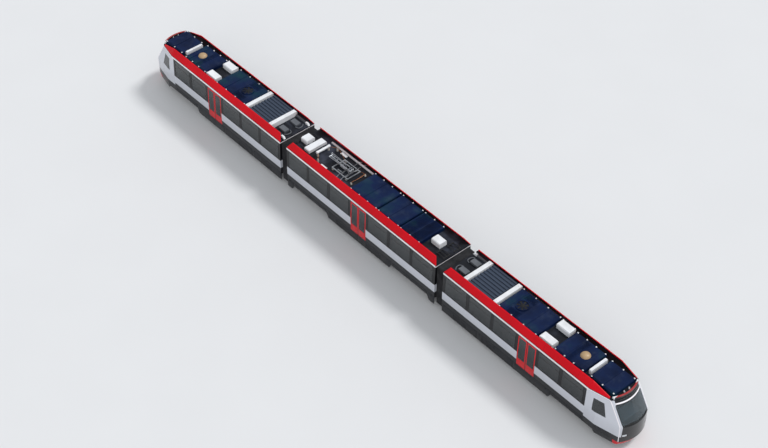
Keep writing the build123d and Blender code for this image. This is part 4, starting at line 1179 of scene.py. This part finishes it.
class METRO_OT_roof_units(bpy.types.Operator):
    """Models the lids, grilles, fans, eye bolts, conduits, ducts and aerials on the roofs"""

    bl_idname = "metro_car.roof_units"
    bl_label = "Roof units"

    def execute(self, context):
        self.end_car()
        self.pipes()
        self.middle_car()
        return {"FINISHED"}

    def covers(self, rows):
        """Lids on the units, from their start, end, half width and the unit's top."""
        return joined([
            lid((start, -half, top - seating), (end, half, top + 0.010)) for start, end, half, top in rows
        ])

    def end_car(self):
        """Covers of the end cars, placed from the tip of the nose."""
        covers = self.covers([(nose_x - back, nose_x - front, half, top) for back, front, half, top in (
            (1.38, 0.98, 0.36, cab_unit_z), (0.96, 0.60, 0.36, cab_unit_z),
            (2.60, 2.27, 0.39, aerial_unit_z), (1.78, 1.62, 0.39, aerial_unit_z),
            (3.62, 3.26, 0.43, cooling_unit_z), (3.98, 3.65, 0.43, cooling_unit_z),
            (4.61, 4.41, 0.43, cooling_unit_z),
        )])
        at_both_ends(covers, "unit_lids", "roof_units")
        grilles = [
            grille(nose_x - 2.24, nose_x - 2.08, -0.38, 0.38, aerial_unit_z, 8),
            grille(nose_x - 4.38, nose_x - 4.00, -0.43, -0.22, cooling_unit_z, 12),
            grille(nose_x - 4.38, nose_x - 4.00, 0.22, 0.43, cooling_unit_z, 12),
        ]
        at_both_ends(joined(grilles), "unit_grilles", "roof_units")
        at_both_ends(placed(self.fan(), nose_x - 4.19, 0, cooling_unit_z), "fan", "rubber")

        # Lifting points along each unit: its start and end from the nose, their y and the unit's top
        dots = []
        for start, end, y, top in (
            (0.58, 1.40, 0.375, cab_unit_z), (1.60, 2.63, 0.41, aerial_unit_z),
            (3.23, 4.63, 0.45, cooling_unit_z),
        ):
            count = round((end - start) / 0.40)
            pitch = (end - start - 0.07) / count
            dots += [(nose_x - start - 0.035 - pitch * i, y, top) for i in range(count + 1)]
        dots += [(nose_x - back, 0.42, 1.750) for back in (2.72, 3.13)]
        dots += [(nose_x - back, 0.40, 1.758) for back in (4.745, 5.855)]
        at_both_ends(self.eye_bolts(dots), "eye_bolts", "roof_cases")

        dome = lathe([
            (0.0, -0.002), (0.136, -0.002), (0.138, 0.004), (0.133, 0.012), (0.128, 0.022),
            (0.110, 0.044), (0.082, 0.061), (0.050, 0.071), (0.022, 0.075), (0.0, 0.076),
        ], 40)
        dome = placed(dome, nose_x - 1.932, 0, aerial_unit_z)
        at_both_ends(dome, "aerial_dome_cover", "dome")

        foot, top = 1.748, 1.757
        case = lid((nose_x - 3.135, 0.205, foot), (nose_x - 2.715, 0.425, top), 0.025, 0.004, 0.003)
        bar = lid((nose_x - 1.525, -0.29, foot), (nose_x - 1.455, 0.29, top), 0.012, 0.003, 0.003)
        at_both_ends(joined([on_both_sides(case), bar]), "case_lids", "roof_cases")

    def pipes(self):
        """Conduits beside the units, cable ducts to the gangway, and two aerial blades over the cab."""
        radius, foot = sizes().conduit, roof_z - 0.001
        z, sleeve_z = roof_z + radius + 0.004, roof_z - 0.002
        runs = []
        for y in (0.506, 0.534):
            runs += pipe_pair([
                (4.27, y, sleeve_z), (4.27, y, z), (4.33, y, z), (5.50, y, z),
                (6.56, y, z), (6.62, y, z), (6.62, y, sleeve_z),
            ], radius)
        elbow = [(3.66, 0.35), (3.60, 0.30), (3.58, 0.20), (3.60, 0.12), (3.70, 0.10)]
        runs += pipe_pair([(x, y, z + 0.004) for x, y in elbow], radius * 1.3)
        saddle = rounded(block((4.388, 0.490, foot), (4.412, 0.550, roof_z + 2 * radius + 0.007)), 0.004)
        saddles = on_both_sides(row_of(saddle, 5, (0.53, 0, 0)))
        ducts = [
            lid((3.648, 0.425, foot), (4.095, 0.475, roof_z + 0.055), 0.008, 0.003, 0.004),
            lid((3.70, 0.13, foot), (3.98, 0.30, roof_z + 0.070), 0.012, 0.004, 0.005),
        ]
        blade = block((nose_x - 0.545, 0.084, foot), (nose_x - 0.475, 0.096, roof_z + 0.075))
        with editing(blade, faces=facing("+Z")):
            bpy.ops.transform.resize(value=(0.45, 0.6, 1))
            bpy.ops.transform.translate(value=(-0.012, 0, 0))
        blades = on_both_sides(rounded(blade, 0.003))
        at_both_ends(joined(runs), "roof_pipes", "sleeve")
        at_both_ends(saddles, "pipe_saddles", "panto_metal")
        at_both_ends(on_both_sides(joined(ducts)), "cable_ducts", "sleeve")
        at_both_ends(blades, "aerial_blades", "line")

    def fan(self):
        """Fan under its wire guard, inside the rim."""
        hub = lathe([(0.0, 0.0), (0.050, 0.0), (0.048, 0.010), (0.030, 0.016), (0.0, 0.018)], 24)
        blade = tapered(block((0.045, -0.018, 0.002), (0.165, 0.018, 0.006)), "+X", (1, 1.9, 1))
        blades = circle_of(turned(rounded(blade, 0.001, 1), 14, "X"), 7, 360 / 7)
        wire_radius, guard_z = 0.002, 0.022
        rings = [lathe([
            (r - wire_radius, guard_z), (r, guard_z - wire_radius), (r + wire_radius, guard_z),
            (r, guard_z + wire_radius), (r - wire_radius, guard_z),
        ], 48) for r in (0.06, 0.09, 0.12, 0.15, 0.172)]
        spoke = bar_between((-0.178, 0, 0.0205), (0.178, 0, 0.0205), 0.0018, 8)
        return joined([hub, blades, *rings, circle_of(spoke, 4, 45)])

    def eye_bolts(self, places):
        """Lifting eyes' bases with domed caps, at places on either side."""
        bolt = lathe([
            (0.0, -0.002), (0.021, -0.002), (0.022, 0.004), (0.015, 0.007),
            (0.013, 0.016), (0.008, 0.021), (0.0, 0.022),
        ], 16)
        return on_both_sides(copies_at(bolt, places))

    def middle_car(self):
        """Lids, grilles and eye bolts of the middle car's units."""
        rows = ((-0.54, -0.02), (0.02, 0.54), (0.64, 1.04), (1.06, 1.46))
        covers = self.covers([(start, end, 0.44, converter_z) for start, end in rows])
        on_middle(covers, "middle_unit_lids", "roof_units")
        grilles = [grille(start, start + 0.36, -0.44, 0.44, resistor_z, 14) for start in (1.56, 1.95)]
        on_middle(joined(grilles), "middle_unit_grilles", "roof_units")
        dots = [(x, 0.455, converter_z - seating) for x in (-0.53, -0.18, 0.18, 0.53, 0.65, 1.05, 1.45)]
        dots += [(x, 0.455, resistor_z - seating) for x in (1.57, 1.935, 2.30)]
        on_middle(self.eye_bolts(dots), "middle_eye_bolts", "roof_cases")


class METRO_OT_pantograph(bpy.types.Operator):
    """Models the folded pantograph's tubes, head, springs and insulators"""

    bl_idname = "metro_car.pantograph"
    bl_label = "Pantograph"

    # Pivots of the folded arms: the main shaft, the knee, the head, and the coupling rod's two eyes
    shaft = Vector((-1.050, 0, 1.684))
    knee = Vector((-1.948766, 0, 1.731102))
    top = Vector((-1.050, 0, 1.778205))
    rod_foot = Vector((-1.2532, 0, 1.728))
    tail = Vector((rod_low.x + 0.015, 0, rod_high.z - 0.015))
    tube_y, rod_y = 0.062, 0.092

    def execute(self, context):
        self.base()
        self.lower_arm()
        self.upper_arm()
        self.coupling_rod()
        self.head()
        return {"FINISHED"}

    def across(self, place, radius, start, end, sides=20):
        """A bar, boss or eye along Y."""
        return bar_between((place.x, start, place.z), (place.x, end, place.z), radius, sides)

    def at(self, place, y):
        return Vector((place.x, y, place.z))

    def collar(self, point, along, half, radius, sides):
        """A short sleeve on an arm or rod."""
        return bar_between(point - along * half, point + along * half, radius, sides)

    def metal(self, pieces, name, part):
        """Finishes the metal of one moving part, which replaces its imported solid."""
        arm = "_arm" if part in ("lower", "upper") else ""
        nodes = [f"pantograph_{part}{arm}"]
        finished(joined(pieces), name, "panto_metal", f"panto_{part}", nodes)

    def base(self):
        """Sheds of the insulators, main springs, raising cylinder and bearing caps."""
        profile = [(0.0, 0.0), (0.034, 0.0), (0.034, 0.006)]
        for z in (0.010, 0.023):
            profile += [(0.026, z), (0.042, z + 0.003), (0.026, z + 0.008)]
        profile += [(0.028, 0.0355), (0.0, 0.0355)]
        places = [(x, side * 0.237, roof_z) for x in (-1.57, -0.99) for side in (-1, 1)]
        on_middle(copies_at(lathe(profile, 24), places), "pantograph_insulators", "insulator")

        coils = [(0.0, -0.12), (0.006, -0.12), (0.006, -0.115)]
        for i in range(18):
            z = -0.112 + 0.0122 * i
            coils += [(0.012, z), (0.0165, z + 0.003), (0.0165, z + 0.006), (0.012, z + 0.009)]
        coils += [(0.006, 0.112), (0.006, 0.12), (0.0, 0.12)]
        spring = placed(turned(lathe(coils, 20), 90, "Y"), -1.34, 0.16, 1.640)
        cap = turned(lathe([(0, 0), (0.016, 0), (0.016, 0.004), (0.010, 0.008), (0, 0.009)], 20), -90, "X")
        cap = placed(cap, self.shaft.x, 0.108, self.shaft.z)
        cylinder = turned(lathe([
            (0.0, -0.11), (0.020, -0.11), (0.024, -0.105), (0.024, 0.085), (0.020, 0.09), (0.020, 0.10),
            (0.009, 0.102), (0.009, 0.135), (0.0, 0.135),
        ], 24), 90, "Y")
        pieces = joined([on_both_sides(joined([spring, cap])), placed(cylinder, -1.42, 0.0, 1.628)])
        on_middle(pieces, "pantograph_springs", "panto_metal")

    def lower_arm(self):
        """The lower tube, tapering to the knee, on its main shaft with two short struts."""
        length = (self.knee - self.shaft).length
        along = (self.knee - self.shaft).normalized()
        tube = lathe([
            (0.0, 0.0), (0.024, 0.0), (0.024, 0.06), (0.0185, 0.30), (0.0165, length - 0.05),
            (0.0165, length), (0.0, length),
        ], 24)
        clamp = self.shaft + along * 0.22
        self.metal([
            moved(tube, aimed(self.shaft, self.knee)),
            self.across(self.shaft, 0.0155, -0.091, 0.091),
            self.across(self.knee, 0.0185, -0.044, 0.044, 24),
            self.across(self.knee, 0.008, -0.072, 0.072),
            on_both_sides(bar_between(self.at(self.shaft, 0.075), clamp, 0.006, 12)),
            self.collar(clamp, along, 0.015, 0.0235, 24),
        ], "pantograph_lower_tube", "lower")

    def upper_arm(self):
        """Two slender tubes with cross bars and braces, and the tail that the rod holds."""
        along, y = (self.top - self.knee).normalized(), self.tube_y
        half_boss = 0.009
        tube = joined([
            bar_between(self.at(self.knee, y), self.at(self.top, y), 0.0095, 16),
            self.across(self.knee, 0.0175, y - half_boss, y + half_boss, 24),
            self.across(self.top, 0.0120, y - half_boss, y + half_boss, 24),
        ])
        pieces = [on_both_sides(tube)]
        bars = [self.knee + along * place for place in (0.10, 0.27, 0.55, 0.80)]
        pieces += [self.across(bar, 0.0055, -y, y, 12) for bar in bars]
        for side, a, b in zip((1, -1, 1), bars, bars[1:]):
            pieces.append(bar_between(self.at(a, side * 0.060), self.at(b, -side * 0.060), 0.0035, 10))
        pieces.append(bar_between(self.at(self.knee, y), self.at(self.tail, y), 0.008, 16))
        pieces.append(self.across(self.tail, 0.005, 0.056, 0.104))
        self.metal(pieces, "pantograph_upper_frame", "upper")

    def coupling_rod(self):
        """The rod with its two eyes and the nuts that set its length."""
        start, end = self.at(self.rod_foot, self.rod_y), self.at(self.tail, self.rod_y)
        along = (end - start).normalized()
        bore, rim, half = 0.0085, 0.015, 0.004
        eye = lathe([(bore, -half), (rim, -half), (rim, half), (bore, half), (bore, -half)], 24)
        pieces = [
            bar_between(start, end - along * 0.012, 0.0075, 16),
            placed(turned(eye, 90, "X"), *end),
            self.across(self.rod_foot, 0.0048, self.rod_y, 0.112),
        ]
        pieces += [self.collar(start + along * place, along, 0.014, 0.0105, 6) for place in (0.05, 0.70)]
        self.metal(pieces, "pantograph_coupling_rod", "rod")

    def head(self):
        """Two sprung carriers with their carbon strips and sloping horns."""
        crown, pieces, carbons = 1.8122, [], []
        middle_x, middle_z, reach = self.top.x, self.top.z, 0.085
        pieces.append(self.across(self.top, 0.005, -0.075, 0.075))
        for x in (middle_x - reach, middle_x + reach):
            carrier = block((x - 0.010, -0.33, crown - 0.021), (x + 0.010, 0.33, crown - 0.008))
            pieces.append(rounded(sunk(carrier, "Y", 0.003, 0.0005, 0.004), 0.001))
            strip = block((x - 0.0085, -0.325, crown - 0.009), (x + 0.0085, 0.325, crown))
            carbons.append(rounded_edges(
                strip, lambda middle, way: abs(way.x) > 0.9 and middle.z > crown - 0.001, 0.006, 2))
            pieces += pipe_pair([(x, y, crown - drop) for y, drop in (
                (0.315, 0.013), (0.345, 0.012), (0.39, 0.020), (0.44, 0.042), (0.466, 0.060), (0.474, 0.070),
            )], 0.0062)
        beam = block((middle_x - reach, 0.023, middle_z - 0.008), (middle_x + reach, 0.037, middle_z + 0.008))
        leg = lathe([
            (0, 0), (0.006, 0), (0.006, 0.004), (0.008, 0.006), (0.008, 0.012), (0.006, 0.014), (0, 0.014),
        ], 16)
        legs = copies_at(leg, [(middle_x + side * 0.083, 0.030, middle_z) for side in (-1, 1)])
        pieces.append(on_both_sides(joined([rounded(tapered(beam, "X", (1, 0.8, 0.6)), 0.002), legs])))
        self.metal(pieces, "pantograph_collector", "head")
        finished(joined(carbons), "pantograph_carbons", "carbon", "panto_head")


class METRO_OT_high_voltage(bpy.types.Operator):
    """Models the insulators, breaker, trays, walkway steps, busbars and leads on the middle roof"""

    bl_idname = "metro_car.high_voltage"
    bl_label = "High-voltage gear"

    breaker_x, breaker_rise = -2.30, 0.145

    def execute(self, context):
        # The posts' height, x and y: under the breaker, as arresters, and in front of the pantograph
        posts = [placed(self.post(height), x, y, roof_z) for height, x, y in (
            (0.105, self.breaker_x, 0.20), (0.120, -2.10, 0.36), (0.070, -0.76, 0.26),
        )]
        posts = on_both_sides(joined(posts))
        on_middle(posts, "high_voltage_insulators", "insulator")
        self.breaker_and_trays()
        self.busbars()
        self.leads()
        return {"FINISHED"}

    def post(self, height):
        """A ribbed post insulator with a metal foot and cap."""
        profile = [(0.0, -0.001), (0.030, -0.001), (0.030, 0.008), (0.020, 0.010)]
        for i in range(int((height - 0.026) / 0.012)):
            z = 0.012 + 0.012 * i
            profile += [(0.016, z), (0.030 - 0.004 * (i % 2), z + 0.003), (0.016, z + 0.009)]
        profile += [(0.018, height - 0.010), (0.018, height), (0.0, height)]
        return lathe(profile, 24)

    def breaker_and_trays(self):
        """The breaker's vessel on its posts, cable trays along the roof, and steps on their feet."""
        half = [
            (0.0, -0.25), (0.020, -0.25), (0.030, -0.245), (0.044, -0.24), (0.046, -0.20), (0.040, -0.19),
            (0.040, -0.03), (0.047, -0.02),
        ]
        vessel = turned(lathe(half + [(radius, -z) for radius, z in reversed(half)], 28), 90, "X")
        foot = roof_z - 0.001
        tray = lid((-2.48, 0.450, foot), (-0.60, 0.500, roof_z + 0.030), 0.008, 0.003, 0.003)
        step = block((-1.95, 0.340, roof_z + 0.018), (-1.70, 0.430, roof_z + 0.024))
        step = rounded(sunk(step, "+Z", 0.006, 0.001, 0.002), 0.001, 1)
        bracket = rounded(block((-1.94, 0.350, foot), (-1.92, 0.420, roof_z + 0.019)), 0.002)
        sides = on_both_sides(joined([tray, step, row_of(bracket, 2, (0.21, 0, 0))]))
        vessel = placed(vessel, self.breaker_x, 0, roof_z + self.breaker_rise)
        on_middle(joined([vessel, sides]), "breaker_and_trays", "roof_cases")

    def busbars(self):
        """Copper bars from the arresters to the breaker, the pantograph and the posts in front of it."""
        breaker = [(-2.10, 0.36, 0.120), (-2.16, 0.30, 0.135), (-2.22, 0.24, 0.140), (-2.30, 0.235, 0.145)]
        single = [
            [(-2.10, 0.36, 0.118), (-1.95, 0.34, 0.118), (-1.75, 0.27, 0.085), (-1.625, 0.24, 0.050)],
            [(-0.94, 0.24, 0.050), (-0.90, 0.25, 0.055), (-0.82, 0.26, 0.070), (-0.76, 0.26, 0.072)],
            [(-0.76, 0.26, 0.072), (-0.74, 0.10, 0.080), (-0.74, -0.10, 0.080), (-0.76, -0.26, 0.072)],
        ]
        radius = 0.006
        bars = pipe_pair([(x, y, roof_z + rise) for x, y, rise in breaker], radius)
        bars += [bent_pipe([(x, y, roof_z + rise) for x, y, rise in bar], radius) for bar in single]
        on_middle(joined(bars), "busbars", "copper")

    def leads(self):
        """Three clipped leads on each side at both ends of the roof, with the bars that hold them."""
        pieces = []
        for y in (0.10, 0.20, 0.30):
            pieces += pipe_pair([(x, y * spread, roof_z + rise) for x, spread, rise in (
                (2.82, 0.9, 0.012), (2.90, 1, 0.012), (2.98, 1, 0.045),
                (3.06, 1, 0.055), (3.12, 1, 0.030), (3.15, 1, 0.012),
            )], 0.011)
        clip = rounded(block((2.838, 0.07, roof_z - 0.001), (2.862, 0.33, roof_z + 0.027)), 0.004)
        pieces.append(on_both_sides(row_of(clip, 2, (0.28, 0, 0))))
        leads = circle_of(joined(pieces), 2, 180)
        on_middle(leads, "middle_roof_leads", "rubber")


class METRO_OT_stage(bpy.types.Operator):
    """Sets the floor, the studio light and the camera at the photograph's viewing angle"""

    bl_idname = "metro_car.stage"
    bl_label = "Stage, light and camera"

    def execute(self, context):
        scene = context.scene
        scene.view_settings.view_transform = "Standard"
        self.floor()

        world = bpy.data.worlds.new("studio")
        world.use_nodes = True
        tree = world.node_tree
        lighting, backdrop = 0.62, 0.84
        seen = add_node(tree, "LightPath").outputs["Is Camera Ray"]
        strength = add_node(tree, "MapRange", {0: seen, 3: lighting, 4: backdrop})
        wire(tree, tree.nodes["Background"], {"Color": linear("f2f5fa"), "Strength": strength})
        scene.world = world

        self.sun("key", (0.30, 0.62, 1.0), 1.75, 14)
        self.sun("fill", (0.75, -0.9, 0.8), 0.75, 40)

        camera = bpy.data.objects.new("camera", bpy.data.cameras.new("camera"))
        scene.collection.objects.link(camera)
        camera.location = (25.6, -21.9, 32.6)
        aim = Vector((0.35, 0.0, 0.70))
        camera.rotation_euler = (aim - camera.location).to_track_quat("-Z", "Y").to_euler()
        camera.data.sensor_width = 36
        camera.data.lens = 77
        camera.data.clip_end = 400
        scene.camera = camera
        return {"FINISHED"}

    def floor(self):
        """A wide pale painted floor, its tone hardly drifting."""
        deselect()
        bpy.ops.mesh.primitive_plane_add(size=240, location=(0, 0, 0))
        floor = bpy.context.object
        floor.name = floor.data.name = "studio_floor"
        material, tree, place = new_finish("studio_floor_paint", roughness=0.9)
        colour = colours().floor
        tone = mottled(tree, place, 2500, [(0.3, shade(colour, 0.985)), (0.7, colour)], 2.0)
        wire(tree, tree.nodes["Principled BSDF"], {"Base Color": tone})
        floor.data.materials.append(material)

    def sun(self, name, towards, strength, spread):
        """A soft sun that shines from a direction."""
        light = bpy.data.lights.new(name, "SUN")
        light.energy = strength
        light.angle = math.radians(spread)
        lamp = bpy.data.objects.new(name, light)
        lamp.rotation_euler = Vector(towards).to_track_quat("Z", "Y").to_euler()
        bpy.context.scene.collection.objects.link(lamp)


class METRO_PT_panel(bpy.types.Panel):
    """Shows the metro car's colours and sizes, and a button for each modelling step"""

    bl_idname = "METRO_PT_panel"
    bl_label = "Metro car"
    bl_space_type = "VIEW_3D"
    bl_region_type = "UI"
    bl_category = "Metro car"

    def draw(self, context):
        layout = self.layout
        for group in (context.scene.metro_car_colours, context.scene.metro_car_sizes):
            box = layout.box()
            for key in group.bl_rna.properties.keys():
                if key not in ("rna_type", "name"):
                    box.prop(group, key)
        for operator in operators:
            layout.operator(operator.bl_idname)


operators = (
    METRO_OT_cad_finishes,
    METRO_OT_wheels,
    METRO_OT_bogie_gear,
    METRO_OT_bellows,
    METRO_OT_window_trim,
    METRO_OT_mouldings,
    METRO_OT_skirts,
    METRO_OT_front,
    METRO_OT_roof_units,
    METRO_OT_pantograph,
    METRO_OT_high_voltage,
    METRO_OT_stage,
)
classes = (MetroCarColours, MetroCarSizes, *operators, METRO_PT_panel)


def register():
    for cls in classes:
        bpy.utils.register_class(cls)
    bpy.types.Scene.metro_car_colours = bpy.props.PointerProperty(type=MetroCarColours)
    bpy.types.Scene.metro_car_sizes = bpy.props.PointerProperty(type=MetroCarSizes)


def unregister():
    del bpy.types.Scene.metro_car_sizes
    del bpy.types.Scene.metro_car_colours
    for cls in reversed(classes):
        bpy.utils.unregister_class(cls)


def main():
    register()
    for operator in operators:
        group, name = operator.bl_idname.split(".")
        getattr(getattr(bpy.ops, group), name)()


if __name__ == "__main__":
    main()
